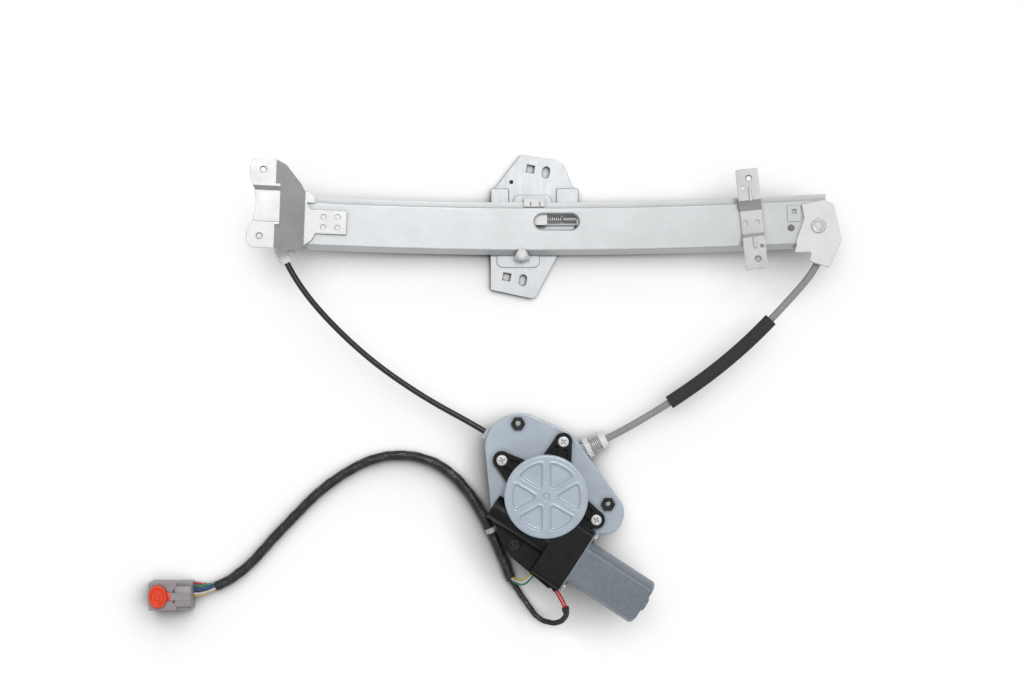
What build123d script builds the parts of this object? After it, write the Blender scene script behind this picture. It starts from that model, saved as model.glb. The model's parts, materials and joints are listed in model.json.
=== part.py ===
from build123d import *
import os
from math import asin, atan2, cos, degrees, hypot, pi, radians, sin, sqrt, tan

# A cable-driven power window regulator: a bowed rail with a glass carrier, two end
# pulleys, a cable drum driven through a worm gear by a DC motor, and its harness.
# Frame: the regulator lies on a table at z = 0, +X along the rail, +Z out of its face.
# Millimetres throughout.

os.makedirs("parts", exist_ok=True)

# ---------------------------------------------------------------- driving dimensions
# Travel arc, which the rail and the carrier share
glass_radius = 1225.0
arc_lean = 15.0
web_centre_y = 128.3
table_to_web = 13.0

# Rail section
rail_sheet = 1.5
web_half = 17.2
wall_depth = 8.0
wall_flare = 25.0
lip_step = 4.0
lip_width = 4.5
rail_bend = 1.2

# Rail ends, measured along X
web_left = -220.0
rail_left = -192.3
wall_left = -188.0
wall_right = 199.5
web_right = 227.5
rail_right = 226.3

# Cable run
wire_radius = 0.75
wire_offset_y = 8.0
wire_depth = 6.0
pulley_pitch = 12.0
pulley_flange = 1.5
pulley_width = 6.0
pulley_pin_radius = 3.0
left_pulley_x = -205.2
right_pulley_x = 219.9
running_gap = 0.05
clear_gap = 0.35

# Conduits
left_conduit_radius = 2.4
right_conduit_radius = 3.0
left_socket_end = (0.8, -30.5)
right_socket_end = (-1.8, -32.5)

# Gear and drum unit, in plan
gear_centre = (2.4, -86.0)
motor_heading = -33.0
worm_offset = 30.0
drum_pitch = 18.0
drum_levels = (5.0, 7.0, 9.0, 11.0, 13.0)
right_lead_level = 9.0
left_lead_level = 11.0

# Gear and drum unit, in height
cover_floor = 2.0
drum_bottom = 3.0
drum_top = 15.0
plate_bottom = 16.0
plate_top = 19.0
housing_floor = 21.0
worm_level = 30.0
housing_top = 41.0
lid_top = 44.0
insert_face = 24.0
arm_top = 25.0

# Worm drive
wheel_teeth = 73
worm_pitch_radius = 4.5
wheel_width = 8.0
tooth_backlash = 0.14
output_shaft_radius = 4.0
motor_shaft_radius = 3.0

# Motor
can_radius = 19.0
can_flat = 14.0
can_wall = 1.5
can_start = 50.0
can_length = 62.0
flange_sheet = 1.5

# Threads
m6_minor_radius = 2.5
m6_insert_flats = 10.0


# ---------------------------------------------------------------- frames
lean_out = Vector(0, sin(radians(arc_lean)), cos(radians(arc_lean)))
web_apex = Vector(0, web_centre_y, table_to_web)
arc_centre = web_apex + lean_out * glass_radius
travel_axis = Axis(arc_centre, Vector(0, -cos(radians(arc_lean)), sin(radians(arc_lean))))


def arc_angle(x):
    """Angle along the travel arc of the point that stands at x."""
    return degrees(asin(x / glass_radius))


def station(x):
    """Plane on the web's front face at x: its x runs along the rail, its z out of the face."""
    angle = arc_angle(x)
    arm = (web_apex - arc_centre).rotate(travel_axis, angle)
    along = Vector(1, 0, 0).rotate(travel_axis, angle)
    out = Vector(0, 0, 1).rotate(travel_axis, angle)
    return Plane(origin=arc_centre + arm, x_dir=along, z_dir=out)


def section_at(plane, x=0.0):
    """Plane across the rail: its x is the given plane's y, and its y the plane's z."""
    return Plane(
        origin=plane.origin + plane.x_dir * x, x_dir=plane.y_dir, z_dir=plane.x_dir
    )


def side_of(plane, y=0.0):
    """Plane along the rail seen from its lower edge: its x is the given plane's x, its y the plane's z."""
    return Plane(
        origin=plane.origin + plane.y_dir * y, x_dir=plane.x_dir, z_dir=-plane.y_dir
    )


def placed(plane, x=0.0, y=0.0, z=0.0, turn=0.0):
    """The given plane, moved by local x, y, z and turned about its own z."""
    return Plane(plane.location * Location((x, y, z), (0, 0, turn)))


def tangent_from(point, centre, radius, side):
    """Where a line from a point touches a circle, which lies to its left (side 1) or right (side -1)."""
    dx = centre[0] - point[0]
    dy = centre[1] - point[1]
    reach = hypot(dx, dy)
    heading = atan2(dy, dx) - side * asin(radius / reach)
    length = sqrt(reach**2 - radius**2)
    return (
        point[0] + length * cos(heading),
        point[1] + length * sin(heading),
    ), degrees(heading)


left_end = station(left_pulley_x)
right_end = station(right_pulley_x)
carrier_plane = station(0.0)
gear_plane = Plane(
    origin=(gear_centre[0], gear_centre[1], 0),
    x_dir=(cos(radians(motor_heading)), sin(radians(motor_heading)), 0),
    z_dir=(0, 0, 1),
)


def motor_section(x):
    """Plane across the motor's axis at a distance x along it from the gear centre."""
    origin = gear_plane.origin + gear_plane.x_dir * x - gear_plane.y_dir * worm_offset
    return Plane(
        origin=(origin.X, origin.Y, worm_level),
        x_dir=gear_plane.y_dir,
        z_dir=gear_plane.x_dir,
    )


# ---------------------------------------------------------------- rail
window_centre = (11.3, 5.9)
window_length = 35.6
window_width = 12.7
window_dish = 0.9
locating_hole_radius = 2.8
locating_hole_x = 198.5
locating_hole_y = -4.3
clip_pad_x = 201.4
clip_pad_y = 7.1
clip_pad_size = 11.6
clip_pad_height = 0.5

flare = radians(wall_flare)
wall_foot = (-web_half - wall_depth * tan(flare), -wall_depth)
wall_foot_inner = (
    wall_foot[0] + rail_sheet * cos(flare),
    wall_foot[1] - rail_sheet * sin(flare),
)
wall_root_inner = (
    wall_foot_inner[0] + (-rail_sheet - wall_foot_inner[1]) * tan(flare),
    -rail_sheet,
)

with BuildPart() as rail:
    with BuildSketch(section_at(station(rail_left))):
        with BuildLine():
            Polyline(
                wall_foot,
                (-web_half, 0),
                (web_half, 0),
                (web_half, -lip_step),
                (web_half + lip_width, -lip_step),
                (web_half + lip_width, -lip_step - rail_sheet),
                (web_half - rail_sheet, -lip_step - rail_sheet),
                (web_half - rail_sheet, -rail_sheet),
                wall_root_inner,
                wall_foot_inner,
                close=True,
            )
        section = make_face()
        fillet(section.vertices().group_by(Axis.Y)[-1], rail_bend)
    revolve(axis=travel_axis, revolution_arc=arc_angle(rail_right) - arc_angle(rail_left))
    # the web runs on under the left bracket, where it carries the pulley
    with BuildSketch(section_at(station(web_left))):
        with Locations((-1.0, -rail_sheet / 2)):
            Rectangle(26.0, rail_sheet)
    revolve(axis=travel_axis, revolution_arc=arc_angle(rail_left + 1) - arc_angle(web_left))
    # the lower wall stops short of both pulleys
    for end_x, direction in ((wall_left, -1), (wall_right, 1)):
        with BuildSketch(station(end_x).offset(-rail_sheet - 0.05)):
            with Locations((direction * 25.0, -web_half - 6.0)):
                Rectangle(50.0, 2 * 7.5)
        extrude(amount=-wall_depth - 3.0, mode=Mode.SUBTRACT)
        with BuildSketch(station(end_x)):
            with Locations((direction * 25.0, -web_half - 6.0)):
                Rectangle(50.0, 2 * 5.0)
        extrude(amount=-wall_depth - 3.0, both=True, mode=Mode.SUBTRACT)
    # oval window with a dished rim
    with BuildSketch(carrier_plane.offset(0.4)):
        with Locations(window_centre):
            SlotOverall(window_length + 2 * window_dish + 0.8, window_width + 2 * window_dish + 0.8)
    extrude(amount=-window_dish - 0.4, taper=45, mode=Mode.SUBTRACT)
    with BuildSketch(carrier_plane.offset(1)):
        with Locations(window_centre):
            SlotOverall(window_length, window_width)
    extrude(amount=-5, mode=Mode.SUBTRACT)
    # locating hole and the square pressing beside it
    with BuildSketch(station(clip_pad_x).offset(-rail_sheet / 2)):
        with Locations((0, clip_pad_y)):
            Rectangle(clip_pad_size, clip_pad_size + 2)
    extrude(amount=rail_sheet / 2 + clip_pad_height, taper=20)
    with BuildSketch(station(clip_pad_x).offset(1)):
        with Locations((0, clip_pad_y + 1.5)):
            Rectangle(3.6, 3.6)
    extrude(amount=-1.9, mode=Mode.SUBTRACT)
    with BuildSketch(station(locating_hole_x).offset(2)):
        with Locations((0, locating_hole_y)):
            Circle(locating_hole_radius)
    extrude(amount=-5, mode=Mode.SUBTRACT)
    # pulley pin holes
    for end in (left_end, right_end):
        with BuildSketch(end.offset(2)):
            with Locations((0, wire_offset_y - pulley_pitch)):
                Circle(pulley_pin_radius + running_gap)
        extrude(amount=-5, mode=Mode.SUBTRACT)
rail.part.label = "rail"
export_step(rail.part, "parts/rail.step")

# ---------------------------------------------------------------- left bracket
bracket_sheet = 2.0
weld_seat = 0.13
ear_height = 22.0
saddle_drop = 3.0
flank_top_x = -28.0
flank_foot_x = -4.0
ear_holes = ((-38.1, 39.6), (-39.4, -12.9))
saddle_low = -1.5
saddle_high = 23.5
saddle_step = 3.4
spot_welds = ((11.0, 5.5), (22.4, 6.0), (11.0, -2.7), (22.4, -2.8))
tab_middle_x = -175.0
tab_middle = 12.4
left_bracket_plane = placed(station(tab_middle_x), -tab_middle, 0, weld_seat)
collar_radius = 4.6
collar_depth = 3.0

with BuildPart() as left_bracket:
    # bent strip: raised ears, sloping flank, tab flat on the web
    with BuildSketch(side_of(left_bracket_plane)):
        with BuildLine():
            Polyline(
                (-55, ear_height),
                (flank_top_x, ear_height),
                (flank_foot_x, bracket_sheet),
                (35, bracket_sheet),
                (35, 0),
                (flank_foot_x - 1.2, 0),
                (flank_top_x - 1.2, ear_height - bracket_sheet),
                (-55, ear_height - bracket_sheet),
                close=True,
            )
        make_face()
    extrude(amount=55, both=True)
    with BuildSketch(left_bracket_plane.offset(-1)):
        with BuildLine():
            Polyline(
                (-49.0, 47.2),
                (-28.1, 48.0),
                (-19.8, 44.5),
                (-7.1, 30.2),
                (-5.0, 26.3),
                (3.7, 22.0),
                (4.3, 16.3),
                (-2.6, 16.3),
                (0.8, 10.8),
                (29.7, 11.0),
                (29.7, -8.1),
                (4.8, -8.1),
            )
            ThreePointArc((4.8, -8.1), (1.6, -13.8), (-5.0, -18.1))
            Polyline(
                (-5.0, -18.1),
                (-7.0, -19.8),
                (-13.1, -21.9),
                (-21.8, -24.1),
                (-28.7, -22.2),
                (-45.7, -22.4),
                (-49.8, -18.6),
                (-49.5, -10.7),
                (-48.0, -1.2),
            )
            ThreePointArc((-48.0, -1.2), (-43.4, 12.5), (-47.4, 26.4))
            Line((-47.4, 26.4), (-49.0, 47.2))
        make_face()
    extrude(amount=ear_height + 5, mode=Mode.INTERSECT)
    # the middle of the ear face is pressed down into a saddle
    with BuildSketch(section_at(left_bracket_plane, -60)):
        with BuildLine():
            Polyline(
                (saddle_high + saddle_step, ear_height + 1),
                (saddle_high + saddle_step, ear_height),
                (saddle_high, ear_height - saddle_drop),
                (saddle_low + 0.6, ear_height - saddle_drop),
                (saddle_low, ear_height),
                (saddle_low, ear_height + 1),
                close=True,
            )
        make_face()
    extrude(amount=60, mode=Mode.SUBTRACT)
    with BuildSketch(section_at(left_bracket_plane, -44.4)):
        with BuildLine():
            Polyline(
                (saddle_high + saddle_step, ear_height),
                (saddle_high, ear_height - saddle_drop),
                (saddle_low + 0.6, ear_height - saddle_drop),
                (saddle_low, ear_height),
                (saddle_low - 2, ear_height),
                (saddle_low - 2, ear_height - bracket_sheet),
                (saddle_low - 1.5, ear_height - saddle_drop - bracket_sheet),
                (saddle_high + 1.2, ear_height - saddle_drop - bracket_sheet),
                (saddle_high + saddle_step + 2, ear_height - bracket_sheet),
                (saddle_high + saddle_step + 2, ear_height),
                close=True,
            )
        make_face()
    extrude(amount=20.4)
    # waist on the saddle's left edge
    with BuildSketch(left_bracket_plane):
        with Locations((-83.2, 12.4)):
            Circle(40.2)
    extrude(amount=ear_height + 5, mode=Mode.SUBTRACT)
    # burred collars under both threads
    with BuildSketch(left_bracket_plane.offset(ear_height - bracket_sheet)):
        with Locations(*ear_holes):
            Circle(collar_radius)
    extrude(amount=-collar_depth)
    with BuildSketch(left_bracket_plane.offset(ear_height + 1)):
        with Locations(*ear_holes):
            Circle(m6_minor_radius)
    extrude(amount=-bracket_sheet - collar_depth - 2, mode=Mode.SUBTRACT)
    # spot weld dimples
    with BuildSketch(left_bracket_plane.offset(bracket_sheet)):
        with Locations(*spot_welds):
            Circle(2.2)
    extrude(amount=-0.4, taper=30, mode=Mode.SUBTRACT)
    ear_corner = (
        left_bracket.edges()
        .filter_by(lambda e: e.length < bracket_sheet + 0.1)
        .sort_by_distance(left_bracket_plane.from_local_coords((-49.0, 47.2, ear_height - 1)))[0]
    )
    fillet(ear_corner, 5)
left_bracket.part.label = "left_bracket"
export_step(left_bracket.part, "parts/left_bracket.step")

# ---------------------------------------------------------------- right bracket
strap_width = 17.7
strap_sheet = 2.0
strap_height = 9.5
strap_plane = placed(station(168.1), 0, 0, 0.05, 4.1)
strap_top = 44.0
strap_upper_foot = 19.0
strap_pad_top = 11.0
strap_pad_bottom = -7.6
strap_lower_foot = -10.6
strap_bottom = -36.4
strap_threads = ((1.0, 36.3), (1.6, -28.4))
bead_width = 3.0

with BuildPart() as right_bracket:
    with BuildSketch(section_at(strap_plane, -strap_width / 2)):
        with BuildLine():
            Polyline(
                (strap_top, strap_height),
                (strap_upper_foot, strap_height),
                (strap_pad_top, strap_sheet),
                (strap_pad_bottom, strap_sheet),
                (strap_lower_foot, strap_height),
                (strap_bottom, strap_height),
                (strap_bottom, strap_height - strap_sheet),
                (strap_lower_foot - 1.4, strap_height - strap_sheet),
                (strap_pad_bottom - 1.4, 0),
                (strap_pad_top + 0.8, 0),
                (strap_upper_foot + 0.8, strap_height - strap_sheet),
                (strap_top, strap_height - strap_sheet),
                close=True,
            )
        make_face()
    extrude(amount=strap_width)
    corners = right_bracket.edges().filter_by(
        lambda e: abs(e.length - strap_sheet) < 0.01
        and abs(strap_plane.to_local_coords(e.center()).Z - strap_height + strap_sheet / 2) < 0.1
    )
    fillet(corners, 1.5)
    # stiffening beads over both bends
    for low, high, x in ((strap_upper_foot - 1.5, 29.3, 1.1), (-20.1, strap_lower_foot + 1.0, 0.6)):
        with BuildSketch(strap_plane.offset(strap_height - 0.5)):
            with Locations((x, (low + high) / 2)):
                SlotOverall(high - low, bead_width, rotation=90)
        extrude(amount=1.1, taper=25)
    with BuildSketch(strap_plane.offset(strap_height - strap_sheet)):
        with Locations(*strap_threads):
            Circle(collar_radius)
    extrude(amount=-collar_depth)
    with BuildSketch(strap_plane.offset(strap_height + 1)):
        with Locations(*strap_threads):
            Circle(m6_minor_radius)
    extrude(amount=-strap_sheet - collar_depth - 2, mode=Mode.SUBTRACT)
    with BuildSketch(strap_plane.offset(strap_height + 1)):
        with Locations((-4.5, 29.0), (6.0, -18.6)):
            Circle(1.6)
    extrude(amount=-4, mode=Mode.SUBTRACT)
    with BuildSketch(strap_plane.offset(strap_sheet)):
        with Locations((-5.0, 1.6), (4.6, 1.4)):
            Circle(1.8)
    extrude(amount=-0.4, taper=30, mode=Mode.SUBTRACT)
right_bracket.part.label = "right_bracket"
export_step(right_bracket.part, "parts/right_bracket.step")

# ---------------------------------------------------------------- pulleys and pins
pulley_y = wire_offset_y - pulley_pitch
groove_floor = pulley_pitch - wire_radius - clear_gap
pulley_rim = pulley_pitch + pulley_flange
pulley_half = pulley_width / 2
groove_mouth = 2.2


def pulley_section():
    """Half section of a pulley: x from the pin's axis, y along it."""
    bore = pulley_pin_radius + running_gap
    groove_half = wire_radius + clear_gap
    Polyline(
        (bore, -pulley_half),
        (pulley_rim, -pulley_half),
        (pulley_rim, -groove_mouth),
        (groove_floor, -groove_half),
        (groove_floor, groove_half),
        (pulley_rim, groove_mouth),
        (pulley_rim, pulley_half),
        (bore, pulley_half),
        close=True,
    )


def pulley_axis(end):
    """The pulley's axis on one end of the rail, out of the rail's face."""
    centre = end.from_local_coords((0, pulley_y, -wire_depth))
    return Axis(centre, end.z_dir)


with BuildPart() as left_pulley:
    with BuildSketch(placed(side_of(left_end, pulley_y), 0, -wire_depth)):
        with BuildLine():
            pulley_section()
        make_face()
    revolve(axis=pulley_axis(left_end))
    with BuildSketch(left_end.offset(-wire_depth + pulley_half)):
        with Locations((0, pulley_y)):
            with PolarLocations(7.0, 6):
                Circle(1.9)
    extrude(amount=-pulley_width, mode=Mode.SUBTRACT)
left_pulley.part.label = "left_pulley"
export_step(left_pulley.part, "parts/left_pulley.step")

with BuildPart() as right_pulley:
    with BuildSketch(placed(side_of(right_end, pulley_y), 0, -wire_depth)):
        with BuildLine():
            pulley_section()
        make_face()
    revolve(axis=pulley_axis(right_end))
    with BuildSketch(right_end.offset(-wire_depth + pulley_half)):
        with Locations((0, pulley_y)):
            with PolarLocations(7.0, 6):
                Circle(1.9)
    extrude(amount=-pulley_width, mode=Mode.SUBTRACT)
right_pulley.part.label = "right_pulley"
export_step(right_pulley.part, "parts/right_pulley.step")

pin_head_radius = 6.0
pin_head = 1.5
pin_foot_radius = 4.2
guide_back = 11.6
guide_sheet = 2.0
housing_face = 2.5
pin_tail = 1.2


def rivet(head_level):
    """Half section of the rivet that a pulley turns on: foot behind, shank, head in front."""
    Polyline(
        (0, -guide_back - pin_tail),
        (pin_foot_radius - 0.8, -guide_back - pin_tail),
        (pin_foot_radius, -guide_back - 0.02),
        (pulley_pin_radius, -guide_back - 0.02),
        (pulley_pin_radius, head_level + 0.02),
        (pin_head_radius, head_level + 0.02),
        (pin_head_radius - 0.8, head_level + pin_head),
        (pin_head_radius - 2.2, head_level + pin_head),
        (pin_head_radius - 2.8, head_level + pin_head - 0.4),
        (0, head_level + pin_head - 0.4),
        close=True,
    )


with BuildPart() as left_pulley_pin:
    with BuildSketch(side_of(left_end, pulley_y)):
        with BuildLine():
            rivet(0.0)
        make_face()
    revolve(axis=pulley_axis(left_end))
left_pulley_pin.part.label = "left_pulley_pin"
export_step(left_pulley_pin.part, "parts/left_pulley_pin.step")

with BuildPart() as right_pulley_pin:
    with BuildSketch(side_of(right_end, pulley_y)):
        with BuildLine():
            rivet(housing_face)
        make_face()
    revolve(axis=pulley_axis(right_end))
right_pulley_pin.part.label = "right_pulley_pin"
export_step(right_pulley_pin.part, "parts/right_pulley_pin.step")

# ---------------------------------------------------------------- left conduit guide
left_touch, left_heading = tangent_from(left_socket_end, (0, pulley_y), pulley_pitch, -1)
right_touch, right_heading = tangent_from(right_socket_end, (0, pulley_y), pulley_pitch, 1)
# the cable runs from the pulley out to the conduit, so both headings point back
left_out = left_heading + 180
right_out = right_heading + 180
socket_length = 9.0
socket_depth = 7.0
socket_wall = 2.0
wire_bore = 1.2
left_socket_plane = placed(left_end, left_socket_end[0], left_socket_end[1], -wire_depth, left_out)
right_socket_plane = placed(right_end, right_socket_end[0], right_socket_end[1], -wire_depth, right_out)

bore_start = 6.0


def across_socket(socket_plane, rail_end):
    """Plane across a conduit socket, looking into it from the conduit."""
    return Plane(socket_plane.origin, x_dir=rail_end.z_dir, z_dir=-socket_plane.x_dir)


with BuildPart() as left_conduit_guide:
    # back plate under the pulley, with an arm out to the socket
    with BuildSketch(left_end.offset(-guide_back)):
        with Locations((0, pulley_y)):
            Circle(pulley_rim + 1.5)
        with BuildLine():
            Polyline(
                (-pulley_rim - 1.4, pulley_y),
                (left_socket_end[0] - 3.0, left_socket_end[1] + 9.0),
                (left_socket_end[0] + 7.0, left_socket_end[1] + 6.0),
                (pulley_rim + 1.4, pulley_y),
                close=True,
            )
        make_face()
    extrude(amount=guide_sheet)
    # socket block round the end of the conduit
    socket_section = across_socket(left_socket_plane, left_end)
    socket_width = 2 * (left_conduit_radius + socket_wall)
    with BuildSketch(socket_section):
        with Locations((-1.2, 0)):
            RectangleRounded(socket_width + 1.6, socket_width + 1.0, 2.0)
    extrude(amount=socket_length + 2.0)
    extrude(left_conduit_guide.faces().sort_by_distance(left_socket_plane.origin)[0], amount=2.5, taper=20)
    with BuildSketch(socket_section.offset(-bore_start)):
        Circle(left_conduit_radius + running_gap)
    extrude(amount=socket_depth + bore_start, mode=Mode.SUBTRACT)
    with BuildSketch(socket_section):
        Circle(wire_bore)
    extrude(amount=socket_length + 6, mode=Mode.SUBTRACT)
    with BuildSketch(left_end.offset(-guide_back - 1)):
        with Locations((0, pulley_y)):
            Circle(pulley_pin_radius + running_gap)
    extrude(amount=guide_sheet + 2, mode=Mode.SUBTRACT)
    # room for the pulley's rim
    with BuildSketch(left_end.offset(-guide_back + guide_sheet)):
        with Locations((0, pulley_y)):
            Circle(pulley_rim + 0.6)
    extrude(amount=14, mode=Mode.SUBTRACT)
left_conduit_guide.part.label = "left_conduit_guide"
export_step(left_conduit_guide.part, "parts/left_conduit_guide.step")

# ---------------------------------------------------------------- pulley housing
housing_outline = (
    (-12.6, 13.6),
    (6.0, 16.6),
    (12.8, 12.6),
    (13.6, 8.0),
    (14.6, 2.2),
    (17.2, -12.4),
    (18.0, -15.2),
    (6.8, -37.6),
    (1.6, -35.6),
    (-4.2, -33.6),
    (-8.4, -31.2),
    (-6.9, -26.2),
    (-7.9, -24.6),
    (-18.6, -24.2),
    (-19.8, -23.0),
    (-18.0, -19.0),
    (-18.2, -15.0),
    (-11.0, 3.0),
)

with BuildPart() as pulley_housing:
    with BuildSketch(right_end.offset(weld_seat)):
        with BuildLine():
            Polyline(*housing_outline, close=True)
        make_face()
    extrude(amount=housing_face - weld_seat)
    front_rim = pulley_housing.edges().filter_by(
        lambda e: abs(right_end.to_local_coords(e.center()).Z - housing_face) < 0.01
    )
    chamfer(front_rim, 0.5)
    with BuildSketch(right_end.offset(weld_seat + 0.2)):
        with BuildLine():
            Polyline(*housing_outline, close=True)
        make_face()
    extrude(amount=-guide_back - weld_seat - 0.2)
    # the rail runs in from the left, between face and back
    with BuildSketch(side_of(right_end, 25)):
        with BuildLine():
            Polyline(
                (-30, weld_seat),
                (web_right - right_pulley_x + 0.4, weld_seat),
                (web_right - right_pulley_x + 0.4, -guide_back + guide_sheet),
                (-30, -guide_back + guide_sheet),
                close=True,
            )
        make_face()
    extrude(amount=25 + web_half + 0.9, mode=Mode.SUBTRACT)
    # pulley chamber
    with BuildSketch(right_end.offset(-guide_back + guide_sheet)):
        with Locations((0, pulley_y)):
            Circle(pulley_rim + 0.6)
    extrude(amount=guide_back - guide_sheet - rail_sheet, mode=Mode.SUBTRACT)
    # the rail's flared lower wall ends inside the left foot
    with BuildSketch(section_at(right_end, -30)):
        with BuildLine():
            Polyline(
                (-web_half + 2, weld_seat),
                (-web_half - 0.4, weld_seat),
                (wall_foot[0] - 0.8, -wall_depth - 1.0),
                (-web_half + 2, -wall_depth - 1.0),
                close=True,
            )
        make_face()
    extrude(amount=30 + wall_right - right_pulley_x + 0.6, mode=Mode.SUBTRACT)
    # slot for the cable from the chamber to the socket, and the conduit's bore
    socket_section = across_socket(right_socket_plane, right_end)
    with BuildSketch(socket_section.offset(-bore_start)):
        Circle(right_conduit_radius + running_gap)
    extrude(amount=socket_depth + bore_start, mode=Mode.SUBTRACT)
    with BuildSketch(socket_section):
        Circle(wire_bore)
    extrude(amount=socket_length + 14, mode=Mode.SUBTRACT)
    with BuildSketch(right_end.offset(-guide_back - 1)):
        with Locations((0, pulley_y)):
            Circle(pulley_pin_radius + running_gap)
    extrude(amount=guide_back + housing_face + 3, mode=Mode.SUBTRACT)
pulley_housing.part.label = "pulley_housing"
export_step(pulley_housing.part, "parts/pulley_housing.step")

# ---------------------------------------------------------------- wire along the rail
# at each end: the pulley's plane, where the cable leaves it, its way out, its sense and its lead
wraps = (
    (left_end, left_touch, left_out, 1, left_socket_end),
    (right_end, right_touch, right_out, -1, right_socket_end),
)

with BuildPart() as rail_wire:
    with BuildSketch(section_at(left_end)):
        with Locations((wire_offset_y, -wire_depth)):
            Circle(wire_radius)
    revolve(axis=travel_axis, revolution_arc=arc_angle(right_pulley_x) - arc_angle(left_pulley_x))
    for end, touch, way_out, side, socket in wraps:
        lead_plane = placed(end, touch[0], touch[1], -wire_depth, way_out)
        lead_length = hypot(socket[0] - touch[0], socket[1] - touch[1]) - socket_depth
        with BuildSketch(Plane(lead_plane.origin, x_dir=end.z_dir, z_dir=lead_plane.x_dir)):
            Circle(wire_radius)
        extrude(amount=lead_length)
        with BuildSketch(section_at(placed(end, 0, pulley_y, -wire_depth))):
            with Locations((pulley_pitch, 0)):
                Circle(wire_radius)
        touch_angle = degrees(atan2(touch[1] - pulley_y, touch[0]))
        wrap_axis = pulley_axis(end)
        revolve(
            axis=Axis(wrap_axis.position, wrap_axis.direction * side),
            revolution_arc=side * (touch_angle - 90) % 360,
        )
rail_wire.part.label = "rail_wire"
export_step(rail_wire.part, "parts/rail_wire.step")

# ---------------------------------------------------------------- carrier
plate_front = -11.0
plate_sheet = 2.0
pad_rise = 2.0
bead_rise = 0.9
glass_turn = 11.0
glass_squares = ((-9.8, 49.5), (-29.1, -38.5))
glass_slots = ((2.8, 46.7), (-16.0, -41.3))
square_size = 6.6
slot_length = 9.8
slot_width = 6.2
pilot_hole = (-25.4, 38.8)

with BuildPart() as carrier_plate:
    with BuildSketch(carrier_plane.offset(plate_front - plate_sheet)):
        with BuildLine():
            Polyline(
                (-17.6, 60.8),
                (-13.0, 60.0),
                (10.6, 56.6),
                (17.0, 52.9),
                (25.0, 33.0),
                (29.6, 28.4),
                (29.8, 8.0),
                (11.6, -22.4),
                (-6.4, -56.6),
                (-42.2, -48.9),
                (-42.2, 25.9),
                (-39.6, 32.5),
                close=True,
            )
        blank = make_face()
        fillet(blank.vertices().group_by(Axis.Y)[0], 5)
        fillet(blank.vertices().group_by(Axis.Y)[-1], 2)
    extrude(amount=plate_sheet)
    # raised pads beside the upper shoe
    for low, high, bottom in ((-42.2, -27.2, 24.5), (10.9, 29.5, 24.5)):
        with BuildSketch(carrier_plane.offset(plate_front)):
            with Locations(((low + high) / 2, (bottom + 9.2 + bottom - 9.2) / 2)):
                RectangleRounded(high - low, 18.4, 1.5)
        extrude(amount=pad_rise, taper=20)
        with BuildSketch(carrier_plane.offset(plate_front - plate_sheet)):
            with Locations(((low + high) / 2, bottom)):
                Rectangle(high - low - 4, 14.4)
        extrude(amount=pad_rise, taper=10, mode=Mode.SUBTRACT)
    # beads that stiffen the plate under both shoes
    with BuildSketch(carrier_plane.offset(plate_front)):
        with Locations((-8.1, 20.9)):
            RectangleRounded(32.0, 15.0, 6.0)
        with Locations((-19.8, -24.4)):
            RectangleRounded(35.0, 13.0, 5.0)
    extrude(amount=bead_rise, taper=25)
    # holes for the glass bolts
    with BuildSketch(carrier_plane.offset(plate_front + 1)):
        with Locations(*[Location((x, y), -glass_turn) for x, y in glass_squares]):
            Rectangle(square_size, square_size)
        with Locations(*[Location((x, y), 90 - glass_turn) for x, y in glass_slots]):
            SlotOverall(slot_length, slot_width)
        with Locations(pilot_hole):
            Circle(1.6)
    extrude(amount=-plate_sheet - 2, mode=Mode.SUBTRACT)
carrier_plate.part.label = "carrier_plate"
export_step(carrier_plate.part, "parts/carrier_plate.step")

bead_top = plate_front + bead_rise
upper_shoe_x = (-15.1, 1.6)
lower_shoe_x = (-22.6, -10.9)
shoe_gap = 0.4

with BuildPart() as upper_shoe:
    lip_front = -lip_step
    lip_back = -lip_step - rail_sheet
    lip_edge = web_half + lip_width
    with BuildSketch(section_at(carrier_plane, upper_shoe_x[0])):
        with BuildLine():
            Polyline(
                (lip_edge - 4.6, bead_top),
                (lip_edge + 4.0, bead_top),
                (lip_edge + 4.0, lip_front + 0.9),
                (lip_edge + 2.6, lip_front + 2.2),
                (web_half + 0.9, lip_front + 2.2),
                (web_half + 0.9, lip_front + shoe_gap),
                (lip_edge + shoe_gap, lip_front + shoe_gap),
                (lip_edge + shoe_gap, lip_back - shoe_gap),
                (lip_edge - 4.6, lip_back - shoe_gap),
                close=True,
            )
        make_face()
    extrude(amount=upper_shoe_x[1] - upper_shoe_x[0])
    # two sprung slits make the middle tongue
    with BuildSketch(carrier_plane.offset(lip_front + 3)):
        with Locations((-9.7, web_half + 2.6), (-2.4, web_half + 2.6)):
            SlotOverall(4.2, 1.0, rotation=90)
    extrude(amount=-2.7, mode=Mode.SUBTRACT)
upper_shoe.part.label = "upper_shoe"
export_step(upper_shoe.part, "parts/upper_shoe.step")

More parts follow.
